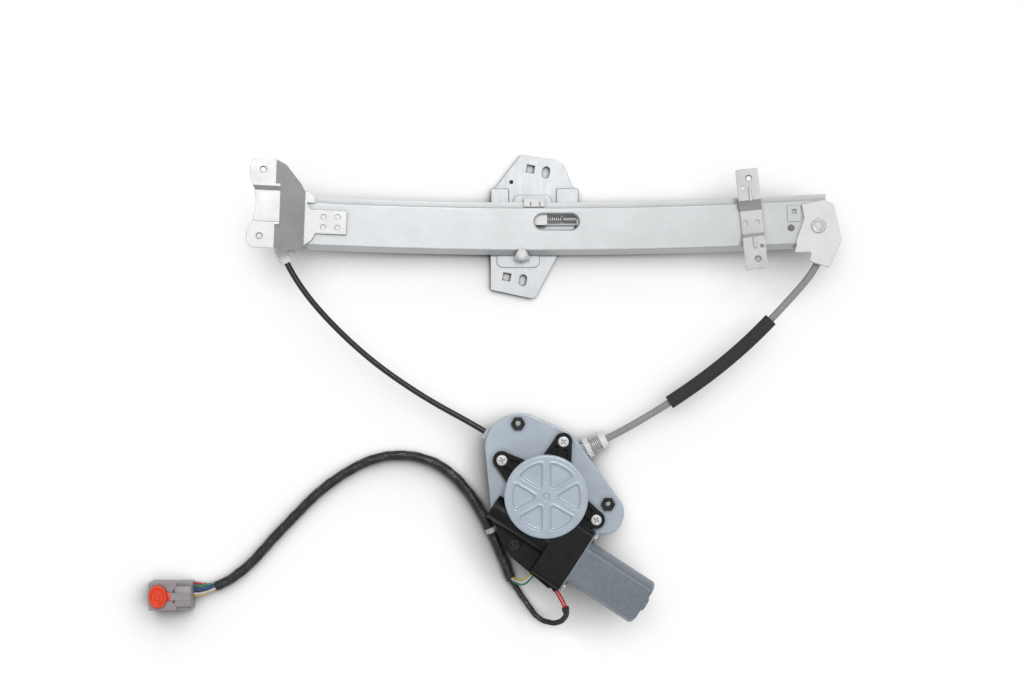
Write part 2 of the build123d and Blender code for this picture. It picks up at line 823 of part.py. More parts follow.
with BuildPart() as lower_shoe:
    slope = tan(flare)

    def outside(z, gap):
        """y of the wall's outer face at height z, moved out by a gap."""
        return -web_half + z * slope - gap / cos(flare)

    def inside(z, gap):
        """y of the wall's inner face at height z, moved in by a gap."""
        return outside(z, 0) + (rail_sheet + gap) / cos(flare)

    foot_level = wall_foot_inner[1] - shoe_gap
    with BuildSketch(section_at(carrier_plane, lower_shoe_x[0])):
        with BuildLine():
            Polyline(
                (outside(bead_top, 3.6), bead_top),
                (outside(-5.0, 4.6), -5.0),
                (outside(0.0, 3.4), -0.6),
                (outside(0.0, 2.2), 1.4),
                (-web_half + 0.9, 1.9),
                (-web_half + 1.2, shoe_gap),
                (outside(0.3, shoe_gap), shoe_gap),
                (outside(foot_level, shoe_gap), foot_level),
                (inside(foot_level, shoe_gap), foot_level),
                (inside(-4.0, shoe_gap), -4.0),
                (inside(-4.0, shoe_gap) + 1.6, -4.0),
                (inside(-8.0, shoe_gap) + 3.0, -8.0),
                (inside(-8.0, shoe_gap) + 3.0, bead_top),
                close=True,
            )
        make_face()
    extrude(amount=lower_shoe_x[1] - lower_shoe_x[0])
    # the nose is narrower than the foot
    for edge_x, direction in ((lower_shoe_x[0], 1), (lower_shoe_x[1], -1)):
        with BuildSketch(carrier_plane.offset(3)):
            with BuildLine():
                Polyline(
                    (edge_x, -web_half + 2),
                    (edge_x + direction * 3.6, -web_half + 2),
                    (edge_x + direction * 2.6, -web_half - 1.0),
                    (edge_x, -web_half - 4.6),
                    close=True,
                )
            make_face()
        extrude(amount=-16, mode=Mode.SUBTRACT)
lower_shoe.part.label = "lower_shoe"
export_step(lower_shoe.part, "parts/lower_shoe.step")

anchor_left = -8.0
anchor_block = 11.8
anchor_half = 4.6
anchor_floor = -8.75
anchor_front = -3.2
spring_left = 4.0
spring_right = 16.4
spring_wire = 0.55
spring_mean = 2.15
nipple_left = 16.6
nipple_right = 27.4
nipple_radius = 2.3
anchor_right = 29.4
wire_clear = 0.16

with BuildPart() as cable_anchor:
    with BuildSketch(carrier_plane.offset(plate_front)):
        with Locations(((anchor_left + anchor_right) / 2, wire_offset_y)):
            Rectangle(anchor_right - anchor_left, 2 * anchor_half)
    extrude(amount=anchor_floor - plate_front)
    with BuildSketch(carrier_plane.offset(plate_front)):
        with Locations((anchor_left + anchor_block / 2, wire_offset_y)):
            RectangleRounded(anchor_block, 2 * anchor_half, 1.5)
    extrude(amount=anchor_front - plate_front)
    with BuildSketch(carrier_plane.offset(plate_front)):
        with Locations((nipple_right + 1.1, wire_offset_y)):
            Rectangle(1.8, 2 * anchor_half)
    extrude(amount=anchor_front - plate_front - 0.8)
    # the cable runs through along the travel arc
    with BuildSketch(section_at(station(anchor_left - 3))):
        with Locations((wire_offset_y, -wire_depth)):
            Circle(wire_bore)
    revolve(
        axis=travel_axis,
        revolution_arc=arc_angle(anchor_right + 3) - arc_angle(anchor_left - 3),
        mode=Mode.SUBTRACT,
    )
cable_anchor.part.label = "cable_anchor"
export_step(cable_anchor.part, "parts/cable_anchor.step")

with BuildPart() as anchor_spring:
    spring_half = (spring_right - spring_left) / 2
    spring_plane = section_at(station((spring_left + spring_right) / 2), spring_wire - spring_half)
    spring_plane = placed(spring_plane, wire_offset_y, -wire_depth)
    spring_room = spring_right - spring_left - 2 * spring_wire
    coil = spring_plane.location * Helix(spring_room / 7, spring_room, spring_mean, mode=Mode.PRIVATE)
    with BuildSketch(Plane(origin=coil @ 0, z_dir=coil % 0)):
        Circle(spring_wire)
    sweep(path=coil, is_frenet=True)
anchor_spring.part.label = "anchor_spring"
export_step(anchor_spring.part, "parts/anchor_spring.step")

with BuildPart() as cable_nipple:
    with BuildSketch(section_at(station(nipple_left))):
        with Locations((wire_offset_y, -wire_depth)):
            Circle(nipple_radius)
            Circle(wire_radius + wire_clear, mode=Mode.SUBTRACT)
    revolve(axis=travel_axis, revolution_arc=arc_angle(nipple_right) - arc_angle(nipple_left))
cable_nipple.part.label = "cable_nipple"
export_step(cable_nipple.part, "parts/cable_nipple.step")

# ---------------------------------------------------------------- conduits
left_drum_mouth = (-45.9, -36.2)
right_drum_mouth = (51.0, -42.0)
left_drum_depth = 6.0
right_drum_depth = 22.0
lead_end_gap = 8.5
left_drum_touch, left_drum_heading = tangent_from(left_drum_mouth, gear_centre, drum_pitch, -1)
right_drum_touch, right_drum_heading = tangent_from(right_drum_mouth, gear_centre, drum_pitch, 1)


def drum_line(mouth, heading, level, distance):
    """Plane across a cable's straight line to the drum, a distance in from its mouth."""
    inward = Vector(cos(radians(heading)), sin(radians(heading)), 0)
    origin = Vector(mouth[0], mouth[1], level) + inward * distance
    return Plane(origin=origin, x_dir=(0, 0, 1), z_dir=inward)


def left_line(distance):
    """Plane across the left cable's line to the drum."""
    return drum_line(left_drum_mouth, left_drum_heading, left_lead_level, distance)


def right_line(distance):
    """Plane across the right cable's line to the drum."""
    return drum_line(right_drum_mouth, right_drum_heading, right_lead_level, distance)


left_conduit_points = (
    (-194.8, 81.8, 22.8),
    (-168.0, 49.7, 19.5),
    (-132.0, 17.4, 16.0),
    (-83.3, -15.0, 12.6),
)
right_conduit_points = (
    (202.3, 75.4, 22.6),
    (172.3, 43.3, 19.0),
    (135.2, 10.9, 15.0),
    (78.0, -27.4, 10.6),
)

with BuildPart() as left_conduit:
    with BuildLine() as left_path:
        inner_end = left_socket_plane.origin - left_socket_plane.x_dir * (socket_depth - 0.1)
        Line(inner_end, left_socket_plane.origin)
        Spline(
            left_socket_plane.origin,
            *left_conduit_points,
            left_line(0).origin,
            tangents=(left_socket_plane.x_dir, left_line(0).z_dir),
        )
        Line(left_line(0).origin, left_line(left_drum_depth).origin)
    with BuildSketch(Plane(inner_end, z_dir=left_socket_plane.x_dir)):
        Circle(left_conduit_radius)
    sweep(path=left_path.wire())
left_conduit.part.label = "left_conduit"
export_step(left_conduit.part, "parts/left_conduit.step")

with BuildPart() as right_conduit:
    with BuildLine() as right_path:
        inner_end = right_socket_plane.origin - right_socket_plane.x_dir * (socket_depth - 0.1)
        Line(inner_end, right_socket_plane.origin)
        right_run = Spline(
            right_socket_plane.origin,
            *right_conduit_points,
            right_line(0).origin,
            tangents=(right_socket_plane.x_dir, right_line(0).z_dir),
        )
        Line(right_line(0).origin, right_line(right_drum_depth).origin)
    with BuildSketch(Plane(inner_end, z_dir=right_socket_plane.x_dir)):
        Circle(right_conduit_radius)
    sweep(path=right_path.wire())
right_conduit.part.label = "right_conduit"
export_step(right_conduit.part, "parts/right_conduit.step")

sleeve_radius = 5.5
sleeve_from = 0.265
sleeve_to = 0.735

with BuildPart() as foam_sleeve:
    sleeve_run = right_run.trim(sleeve_from, sleeve_to)
    with BuildSketch(Plane(origin=sleeve_run @ 0, z_dir=sleeve_run % 0)):
        Circle(sleeve_radius)
        Circle(right_conduit_radius + running_gap, mode=Mode.SUBTRACT)
    sweep(path=sleeve_run)
foam_sleeve.part.label = "foam_sleeve"
export_step(foam_sleeve.part, "parts/foam_sleeve.step")

# ---------------------------------------------------------------- conduit adjuster
adjuster_tube = 4.4
collar_start = 13.6
collar_end = 18.1
adjuster_collar = 8.8
adjuster_end = 27.0
cap_start = -0.6
cap_end = 5.0
cap_radius = 7.5
cap_lap = 1.6
adjuster_coil = 6.0
adjuster_wire = 0.65

with BuildPart() as adjuster_body:
    with BuildSketch(right_line(cap_end - cap_lap + 0.1)):
        Circle(adjuster_tube)
    extrude(amount=adjuster_end - cap_end + cap_lap - 0.1)
    with BuildSketch(right_line(collar_start)):
        Circle(adjuster_collar)
    extrude(amount=collar_end - collar_start)
    rims = adjuster_body.edges().filter_by(GeomType.CIRCLE)
    fillet(rims.filter_by(lambda e: e.radius > adjuster_collar - 0.1), 0.8)
    # finger grips round the collar
    with BuildSketch(right_line(collar_start + 1)):
        with PolarLocations(adjuster_collar + 0.4, 10):
            Circle(1.1)
    extrude(amount=collar_end - collar_start - 2, mode=Mode.SUBTRACT)
    with BuildSketch(right_line(cap_end - cap_lap)):
        Circle(right_conduit_radius + running_gap)
    extrude(amount=right_drum_depth + 0.1 - cap_end + cap_lap, mode=Mode.SUBTRACT)
    with BuildSketch(right_line(right_drum_depth)):
        Circle(wire_bore)
    extrude(amount=adjuster_end - right_drum_depth + 1, mode=Mode.SUBTRACT)
adjuster_body.part.label = "adjuster_body"
export_step(adjuster_body.part, "parts/adjuster_body.step")

with BuildPart() as adjuster_cap:
    with BuildSketch(right_line(cap_start)):
        Circle(cap_radius)
    extrude(amount=cap_end - cap_start)
    rim = adjuster_cap.edges().filter_by(GeomType.CIRCLE).filter_by(lambda e: e.radius > cap_radius - 0.1)
    fillet(rim, 1.0)
    with BuildSketch(right_line(cap_end - cap_lap)):
        Circle(adjuster_tube + running_gap)
    extrude(amount=cap_lap + 1, mode=Mode.SUBTRACT)
    with BuildSketch(right_line(cap_start - 1)):
        Circle(right_conduit_radius + 4 * running_gap)
    extrude(amount=cap_end - cap_start + 2, mode=Mode.SUBTRACT)
adjuster_cap.part.label = "adjuster_cap"
export_step(adjuster_cap.part, "parts/adjuster_cap.step")

with BuildPart() as adjuster_spring:
    spring_room = collar_start - cap_end - 2 * adjuster_wire - 0.06
    spring_plane = right_line(cap_end + adjuster_wire + 0.03)
    coil = spring_plane.location * Helix(spring_room / 5, spring_room, adjuster_coil, mode=Mode.PRIVATE)
    with BuildSketch(Plane(origin=coil @ 0, z_dir=coil % 0)):
        Circle(adjuster_wire)
    sweep(path=coil, is_frenet=True)
adjuster_spring.part.label = "adjuster_spring"
export_step(adjuster_spring.part, "parts/adjuster_spring.step")

# ---------------------------------------------------------------- drum housing
skirt_outer = 23.5
skirt_inner = 20.5
socket_arm_half = 5.2
plate_corners = (
    ((-49.6, -20.9), 27.0),
    ((-12.0, -20.9), 15.0),
    ((23.2, -36.5), 20.0),
    ((67.5, -98.2), 16.0),
    ((60.5, -118.5), 14.0),
    ((30.0, -118.0), 12.0),
    ((-36.0, -112.0), 6.0),
    ((-41.5, -99.9), 4.0),
)
mount_radius = 45.0
mount_angles = (141.7, 71.8, -26.4)
mount_places = [
    (gear_centre[0] + mount_radius * cos(radians(a)), gear_centre[1] + mount_radius * sin(radians(a)))
    for a in mount_angles
]
mount_shank = 2.0
mount_head = 4.4
insert_places = ((-19.9, -28.8), (52.6, -93.6), (-22.8, -126.5))
insert_shank = 4.2
insert_bottom = 14.0
insert_clear = 0.04

with BuildPart() as drum_housing:
    with BuildSketch(Plane.XY.offset(plate_bottom)):
        with BuildLine():
            FilletPolyline(*[c for c, r in plate_corners], radius=[r for c, r in plate_corners], close=True)
        make_face()
    extrude(amount=plate_top - plate_bottom)
    top_rim = drum_housing.edges().group_by(Axis.Z)[-1]
    fillet(top_rim, 1.2)
    # skirt round the drum, and the two arms that the conduits end in
    with BuildSketch(gear_plane.offset(cover_floor)):
        Circle(skirt_outer)
    extrude(amount=plate_bottom - cover_floor)
    with BuildSketch(left_line(left_drum_depth - socket_depth)):
        with Locations(((plate_bottom - left_lead_level - socket_arm_half) / 2, 0)):
            Rectangle(plate_bottom - left_lead_level + socket_arm_half, 2 * socket_arm_half)
    extrude(amount=50)
    with BuildSketch(right_line(collar_end + 0.05)):
        with Locations(((plate_bottom - right_lead_level - socket_arm_half) / 2, 0)):
            Rectangle(plate_bottom - right_lead_level + socket_arm_half, 2 * socket_arm_half)
    extrude(amount=30)
    # drum chamber
    with BuildSketch(gear_plane.offset(cover_floor)):
        Circle(skirt_inner)
    extrude(amount=plate_bottom - cover_floor - 0.4, mode=Mode.SUBTRACT)
    for line, radius, bore_from, bore_to in (
        (left_line, left_conduit_radius, -2.0, left_drum_depth + 0.1),
        (right_line, adjuster_tube, collar_end - 1, adjuster_end + 0.1),
        (left_line, wire_bore, 0.0, 60.0),
        (right_line, wire_bore, collar_end, 56.0),
    ):
        with BuildSketch(line(bore_from)):
            Circle(radius + running_gap)
        extrude(amount=bore_to - bore_from, mode=Mode.SUBTRACT)
    # bearing of the output shaft, screw holes and insert holes
    with BuildSketch(Plane.XY.offset(plate_bottom - 2)):
        with Locations(gear_centre):
            Circle(output_shaft_radius + running_gap)
        with Locations(*mount_places):
            Circle(mount_shank + running_gap)
        with Locations(*insert_places[:2]):
            Circle(insert_shank + insert_clear)
    extrude(amount=plate_top - plate_bottom + 3, mode=Mode.SUBTRACT)
drum_housing.part.label = "drum_housing"
export_step(drum_housing.part, "parts/drum_housing.step")

with BuildPart() as drum_cover:
    with BuildSketch(Plane.XY):
        with Locations(gear_centre):
            Circle(skirt_outer)
    extrude(amount=cover_floor)
    chamfer(drum_cover.edges().group_by(Axis.Z)[0], 0.5)
    with BuildSketch(Plane.XY.offset(cover_floor)):
        with Locations(gear_centre):
            Circle(skirt_inner - 0.1)
            Circle(skirt_inner - 1.6, mode=Mode.SUBTRACT)
    extrude(amount=0.6)
drum_cover.part.label = "drum_cover"
export_step(drum_cover.part, "parts/drum_cover.step")

for number, (place, shank_from) in enumerate(
    zip(insert_places, (insert_bottom, insert_bottom, plate_top + 0.3)), start=1
):
    with BuildPart() as plate_insert:
        if number < 3:
            with BuildSketch(Plane.XY.offset(shank_from)):
                with Locations(place):
                    Circle(insert_shank)
            extrude(amount=plate_top - shank_from)
        with BuildSketch(Plane.XY.offset(max(shank_from, plate_top))):
            with Locations(place):
                RegularPolygon(m6_insert_flats / 2, 6, major_radius=False)
        extrude(amount=insert_face - max(shank_from, plate_top))
        chamfer(plate_insert.edges().group_by(Axis.Z)[-1], 0.6)
        with BuildSketch(Plane.XY.offset(insert_bottom - 1)):
            with Locations(place):
                Circle(m6_minor_radius)
        extrude(amount=insert_face - insert_bottom + 2, mode=Mode.SUBTRACT)
    plate_insert.part.label = f"plate_insert_{number}"
    export_step(plate_insert.part, f"parts/plate_insert_{number}.step")

# ---------------------------------------------------------------- cable drum
drum_outer = 18.8
drum_groove = 0.85

with BuildPart() as cable_drum:
    with BuildSketch(gear_plane.offset(drum_bottom)):
        Circle(drum_outer)
    extrude(amount=drum_top - drum_bottom)
    # five grooves, one for each turn of cable
    with BuildSketch(Plane(gear_plane.origin, x_dir=gear_plane.x_dir, z_dir=-gear_plane.y_dir)):
        for level in drum_levels:
            with Locations((drum_pitch, level)):
                Circle(drum_groove)
            with Locations((drum_outer, level)):
                Rectangle(2 * (drum_outer - drum_pitch), 2 * drum_groove)
    revolve(axis=Axis(gear_plane.origin, gear_plane.z_dir), mode=Mode.SUBTRACT)
    # weight pockets between the ribs
    with BuildSketch(gear_plane.offset(drum_top)):
        with PolarLocations(11.0, 6):
            Circle(3.2)
    extrude(amount=drum_bottom - drum_top + 2, mode=Mode.SUBTRACT)
    with BuildSketch(gear_plane.offset(drum_bottom - 1)):
        Circle(output_shaft_radius + 0.02)
    extrude(amount=drum_top - drum_bottom + 2, mode=Mode.SUBTRACT)
cable_drum.part.label = "cable_drum"
export_step(cable_drum.part, "parts/cable_drum.step")

with BuildPart() as wound_wire:
    with BuildSketch(Plane(gear_plane.origin, x_dir=gear_plane.x_dir, z_dir=-gear_plane.y_dir)):
        with Locations(*[(drum_pitch, level) for level in drum_levels]):
            Circle(wire_radius)
    revolve(axis=Axis(gear_plane.origin, gear_plane.z_dir))
wound_wire.part.label = "wound_wire"
export_step(wound_wire.part, "parts/wound_wire.step")

for side_name, line, touch, mouth, start in (
    ("left", left_line, left_drum_touch, left_drum_mouth, left_drum_depth),
    ("right", right_line, right_drum_touch, right_drum_mouth, right_drum_depth),
):
    with BuildPart() as drum_lead:
        with BuildSketch(line(start + 0.05)):
            Circle(wire_radius)
        extrude(amount=hypot(touch[0] - mouth[0], touch[1] - mouth[1]) - start - lead_end_gap)
    drum_lead.part.label = f"{side_name}_drum_lead"
    export_step(drum_lead.part, f"parts/{side_name}_drum_lead.step")

with BuildPart() as output_shaft:
    with BuildSketch(gear_plane.offset(drum_bottom)):
        Circle(output_shaft_radius)
    extrude(amount=housing_top - 2 - drum_bottom)
    chamfer(output_shaft.edges().filter_by(GeomType.CIRCLE), 0.5)
output_shaft.part.label = "output_shaft"
export_step(output_shaft.part, "parts/output_shaft.step")

# ---------------------------------------------------------------- worm and wheel
wheel_pitch_radius = worm_offset - worm_pitch_radius
tooth_module = 2 * wheel_pitch_radius / wheel_teeth
worm_lead = pi * tooth_module
pressure_slope = tan(radians(20))
addendum = tooth_module
dedendum = 1.25 * tooth_module
tooth_half = worm_lead / 4 - tooth_backlash / 2
tip_half = tooth_half - addendum * pressure_slope
root_half = tooth_half + dedendum * pressure_slope
lead_angle = atan2(worm_lead, 2 * pi * worm_pitch_radius)
wheel_twist = degrees(wheel_width * tan(lead_angle) / wheel_pitch_radius)
wheel_hub = 8.0
hub_height = 4.0


def wheel_outline(turn):
    """Toothed outline of the wheel, turned; a gap faces the worm when it isn't."""
    tip = wheel_pitch_radius + addendum
    root = wheel_pitch_radius - dedendum
    points = []
    for number in range(wheel_teeth):
        middle = radians(-90 + turn + (number + 0.5) * 360 / wheel_teeth)
        for radius, half in ((root, -root_half), (tip, -tip_half), (tip, tip_half), (root, root_half)):
            angle = middle + half / radius
            points.append((radius * cos(angle), radius * sin(angle)))
    Polyline(*points, close=True)


with BuildPart() as worm_wheel:
    # the teeth lean with the worm's thread
    with BuildSketch(gear_plane.offset(worm_level - wheel_width / 2)):
        with BuildLine():
            wheel_outline(-wheel_twist / 2)
        make_face()
    with BuildSketch(gear_plane.offset(worm_level + wheel_width / 2)):
        with BuildLine():
            wheel_outline(wheel_twist / 2)
        make_face()
    loft(ruled=True)
    # thin web between hub and rim
    with BuildSketch(
        gear_plane.offset(worm_level - wheel_width / 2), gear_plane.offset(worm_level + wheel_width / 2)
    ):
        Circle(wheel_pitch_radius - 4)
        Circle(wheel_hub, mode=Mode.SUBTRACT)
    extrude(amount=2.5, both=True, mode=Mode.SUBTRACT)
    with BuildSketch(gear_plane.offset(worm_level - wheel_width / 2 - hub_height)):
        Circle(wheel_hub)
    extrude(amount=wheel_width + 2 * hub_height)
    with BuildSketch(gear_plane.offset(worm_level - wheel_width)):
        Circle(output_shaft_radius + 0.02)
    extrude(amount=2 * wheel_width, mode=Mode.SUBTRACT)
worm_wheel.part.label = "worm_wheel"
export_step(worm_wheel.part, "parts/worm_wheel.step")

worm_turns = 4
shaft_front = -26.8
shaft_back = can_start + can_length + 0.7
past_the_motor = 200.0
core_radius = 12.0
core_start = 62.0
core_end = 94.0
commutator_radius = 6.5
commutator_start = 36.0
commutator_end = 46.0


def worm_point(along, radius):
    """Point of the worm's cross-section whose thread profile lies a distance along the axis."""
    angle = 2 * pi * along / worm_lead
    return (radius * cos(angle), radius * sin(angle))


# The worm is its own cross-section, twisted once round for each lead.
worm_tip = worm_pitch_radius + addendum
worm_root = worm_pitch_radius - dedendum
flank_steps = 5
worm_start = motor_section(-worm_turns * worm_lead)

with BuildSketch(worm_start) as worm_section:
    with BuildLine():
        flank = [
            (
                tip_half + (root_half - tip_half) * step / flank_steps,
                worm_tip + (worm_root - worm_tip) * step / flank_steps,
            )
            for step in range(flank_steps + 1)
        ]
        ThreePointArc(worm_point(-tip_half, worm_tip), (worm_tip, 0), worm_point(tip_half, worm_tip))
        Spline(*[worm_point(along, radius) for along, radius in flank])
        ThreePointArc(
            worm_point(root_half, worm_root), (-worm_root, 0), worm_point(-root_half, worm_root)
        )
        Spline(*[worm_point(-along, radius) for along, radius in reversed(flank)])
    make_face()
worm = Solid.extrude_linear_with_rotation(
    worm_section.sketch.faces()[0],
    center=worm_start.origin,
    normal=worm_start.z_dir * (2 * worm_turns * worm_lead),
    angle=360 * 2 * worm_turns,
)

with BuildPart() as armature_shaft:
    with BuildSketch(motor_section(shaft_front)):
        Circle(motor_shaft_radius)
    extrude(amount=shaft_back - shaft_front)
    add(worm)
armature_shaft.part.label = "armature_shaft"
export_step(armature_shaft.part, "parts/armature_shaft.step")

with BuildPart() as armature_core:
    with BuildSketch(motor_section(core_start)):
        Circle(core_radius)
        # open slots for the winding
        with PolarLocations(core_radius - 1.6, 10):
            Circle(1.9, mode=Mode.SUBTRACT)
        with PolarLocations(core_radius, 10):
            Rectangle(3.0, 1.2, mode=Mode.SUBTRACT)
        Circle(motor_shaft_radius + 0.02, mode=Mode.SUBTRACT)
    extrude(amount=core_end - core_start)
armature_core.part.label = "armature_core"
export_step(armature_core.part, "parts/armature_core.step")

with BuildPart() as armature_winding:
    for start, length in ((core_start - 4.5, 4.5), (core_end, 4.5)):
        with BuildSketch(motor_section(start)):
            Circle(core_radius - 1.2)
            Circle(motor_shaft_radius + 0.5, mode=Mode.SUBTRACT)
        extrude(amount=length)
    with BuildSketch(motor_section(core_start)):
        with PolarLocations(core_radius - 1.6, 10):
            Circle(1.85)
    extrude(amount=core_end - core_start)
armature_winding.part.label = "armature_winding"
export_step(armature_winding.part, "parts/armature_winding.step")

with BuildPart() as commutator:
    with BuildSketch(motor_section(commutator_start)):
        Circle(commutator_radius)
        with PolarLocations(commutator_radius, 10):
            Rectangle(1.2, 0.5, mode=Mode.SUBTRACT)
        Circle(motor_shaft_radius + 0.02, mode=Mode.SUBTRACT)
    extrude(amount=commutator_end - commutator_start)
commutator.part.label = "commutator"
export_step(commutator.part, "parts/commutator.step")

# ---------------------------------------------------------------- motor can and its fittings
magnet_inner = 13.2
bush_radius = 5.5
boss_radius = 6.0
boss_length = 2.5
flange_start = can_start - flange_sheet
block_start = 22.0
block_bottom = 19.2
block_top = 43.0
can_screw_reach = can_radius + 4.0
block_half = can_screw_reach + 4.0
can_end_radius = 3.0
chamber_start = 32.0
brush_chamber = 16.5
brush_chamber_half = 10.4

with BuildPart() as drawn_can:
    with BuildSketch():
        Circle(can_radius)
        Rectangle(4 * can_radius, 2 * can_flat, mode=Mode.INTERSECT)
    extrude(amount=can_start + can_length - flange_start)
    fillet(drawn_can.faces().sort_by(Axis.Z)[-1].edges(), can_end_radius)

with BuildPart() as motor_can:
    add(drawn_can.part.moved(motor_section(flange_start).location))
    with BuildSketch(motor_section(flange_start)):
        Circle(can_radius - can_wall)
        Rectangle(4 * can_radius, 2 * (can_flat - can_wall), mode=Mode.INTERSECT)
    extrude(amount=can_start + can_length - can_wall - flange_start, mode=Mode.SUBTRACT)
    with BuildSketch(motor_section(flange_start)):
        with Locations((0, (block_bottom + block_top) / 2 - worm_level)):
            RectangleRounded(2 * block_half, block_top - block_bottom, 4)
        Circle(can_radius - can_wall, mode=Mode.SUBTRACT)
        with Locations((-can_screw_reach, 0), (can_screw_reach, 0)):
            Circle(mount_shank + running_gap, mode=Mode.SUBTRACT)
    extrude(amount=flange_sheet)
    # bearing boss with a dimple
    with BuildSketch(motor_section(can_start + can_length - can_wall)):
        Circle(boss_radius)
    extrude(amount=can_wall + boss_length)
    fillet(motor_can.faces().sort_by_distance(motor_section(past_the_motor).origin)[0].edges(), 1)
    with BuildSketch(motor_section(can_start + can_length - can_wall - 4)):
        Circle(bush_radius - 0.98)
    extrude(amount=can_wall + boss_length + 3, mode=Mode.SUBTRACT)
motor_can.part.label = "motor_can"
export_step(motor_can.part, "parts/motor_can.step")

for number, side in ((1, 1), (2, -1)):
    with BuildPart() as field_magnet:
        with BuildSketch(motor_section(core_start - 2)):
            Circle(can_radius - can_wall - 0.1)
            Circle(magnet_inner, mode=Mode.SUBTRACT)
            Rectangle(4 * can_radius, 2 * (can_flat - can_wall - 0.1), mode=Mode.INTERSECT)
            with Locations((side * can_radius, 0)):
                Rectangle(2 * can_radius - 6, 4 * can_radius, mode=Mode.INTERSECT)
        extrude(amount=core_end - core_start + 4)
    field_magnet.part.label = f"field_magnet_{number}"
    export_step(field_magnet.part, f"parts/field_magnet_{number}.step")

with BuildPart() as rear_bush:
    with BuildSketch(motor_section(can_start + can_length - can_wall)):
        Circle(bush_radius - 1)
        Circle(motor_shaft_radius + running_gap, mode=Mode.SUBTRACT)
    extrude(amount=can_wall + boss_length - 1)
rear_bush.part.label = "rear_bush"
export_step(rear_bush.part, "parts/rear_bush.step")

with BuildPart() as front_bush:
    with BuildSketch(motor_section(20)):
        Circle(bush_radius)
        Circle(motor_shaft_radius + running_gap, mode=Mode.SUBTRACT)
    extrude(amount=6)
front_bush.part.label = "front_bush"
export_step(front_bush.part, "parts/front_bush.step")

with BuildPart() as brush_holder:
    with BuildSketch(motor_section(chamber_start)):
        Circle(brush_chamber - 0.1)
        Rectangle(4 * can_radius, 2 * (brush_chamber_half - 0.1), mode=Mode.INTERSECT)
        Circle(motor_shaft_radius + 3, mode=Mode.SUBTRACT)
    extrude(amount=2.5)
    # guides for the two brushes
    with BuildSketch(motor_section(chamber_start + 2.5)):
        for side in (-1, 1):
            with Locations((side * 11.5, 0)):
                Rectangle(7.0, 7.6)
                Rectangle(8.0, 4.6, mode=Mode.SUBTRACT)
    extrude(amount=9)
brush_holder.part.label = "brush_holder"
export_step(brush_holder.part, "parts/brush_holder.step")

for number, side in ((1, -1), (2, 1)):
    with BuildPart() as brush:
        with BuildSketch(motor_section(commutator_start + 1.2)):
            with Locations((side * (commutator_radius + 4.0), 0)):
                Rectangle(7.8, 4.4)
        extrude(amount=6)
    brush.part.label = f"brush_{number}"
    export_step(brush.part, f"parts/brush_{number}.step")

for number, side in ((1, -1), (2, 1)):
    with BuildPart() as can_screw:
        screw_plane = placed(motor_section(can_start), side * can_screw_reach)
        with BuildSketch(screw_plane):
            Circle(3.8)
        extrude(amount=2.6)
        fillet(can_screw.faces().sort_by_distance(motor_section(past_the_motor).origin)[0].edges(), 0.9)
        with BuildSketch(screw_plane.offset(3)):
            Rectangle(4.2, 0.9)
            Rectangle(0.9, 4.2)
        extrude(amount=-1.8, mode=Mode.SUBTRACT)
        with BuildSketch(screw_plane):
            Circle(mount_shank)
        extrude(amount=-11)
    can_screw.part.label = f"can_screw_{number}"
    export_step(can_screw.part, f"parts/can_screw_{number}.step")

# ---------------------------------------------------------------- gear housing
barrel_radius = 31.0
barrel_chamber = 27.8
worm_tube_radius = 10.0
worm_bore = 6.4
wing_top = 23.5
arm_end = 7.2
lid_radius = 33.4
lid_gap = 0.4
wing_outline = (
    (-34.4, -91.7),
    (-41.4, -101.0),
    (-33.5, -124.5),
    (-25.5, -136.0),
    (4.7, -161.6),
    (10.4, -159.0),
    (41.0, -114.2),
    (20.0, -86.0),
)
port_plane = placed(gear_plane, 40, -56, 26, -24)
port_radius = 2.4
port_length = 9.0

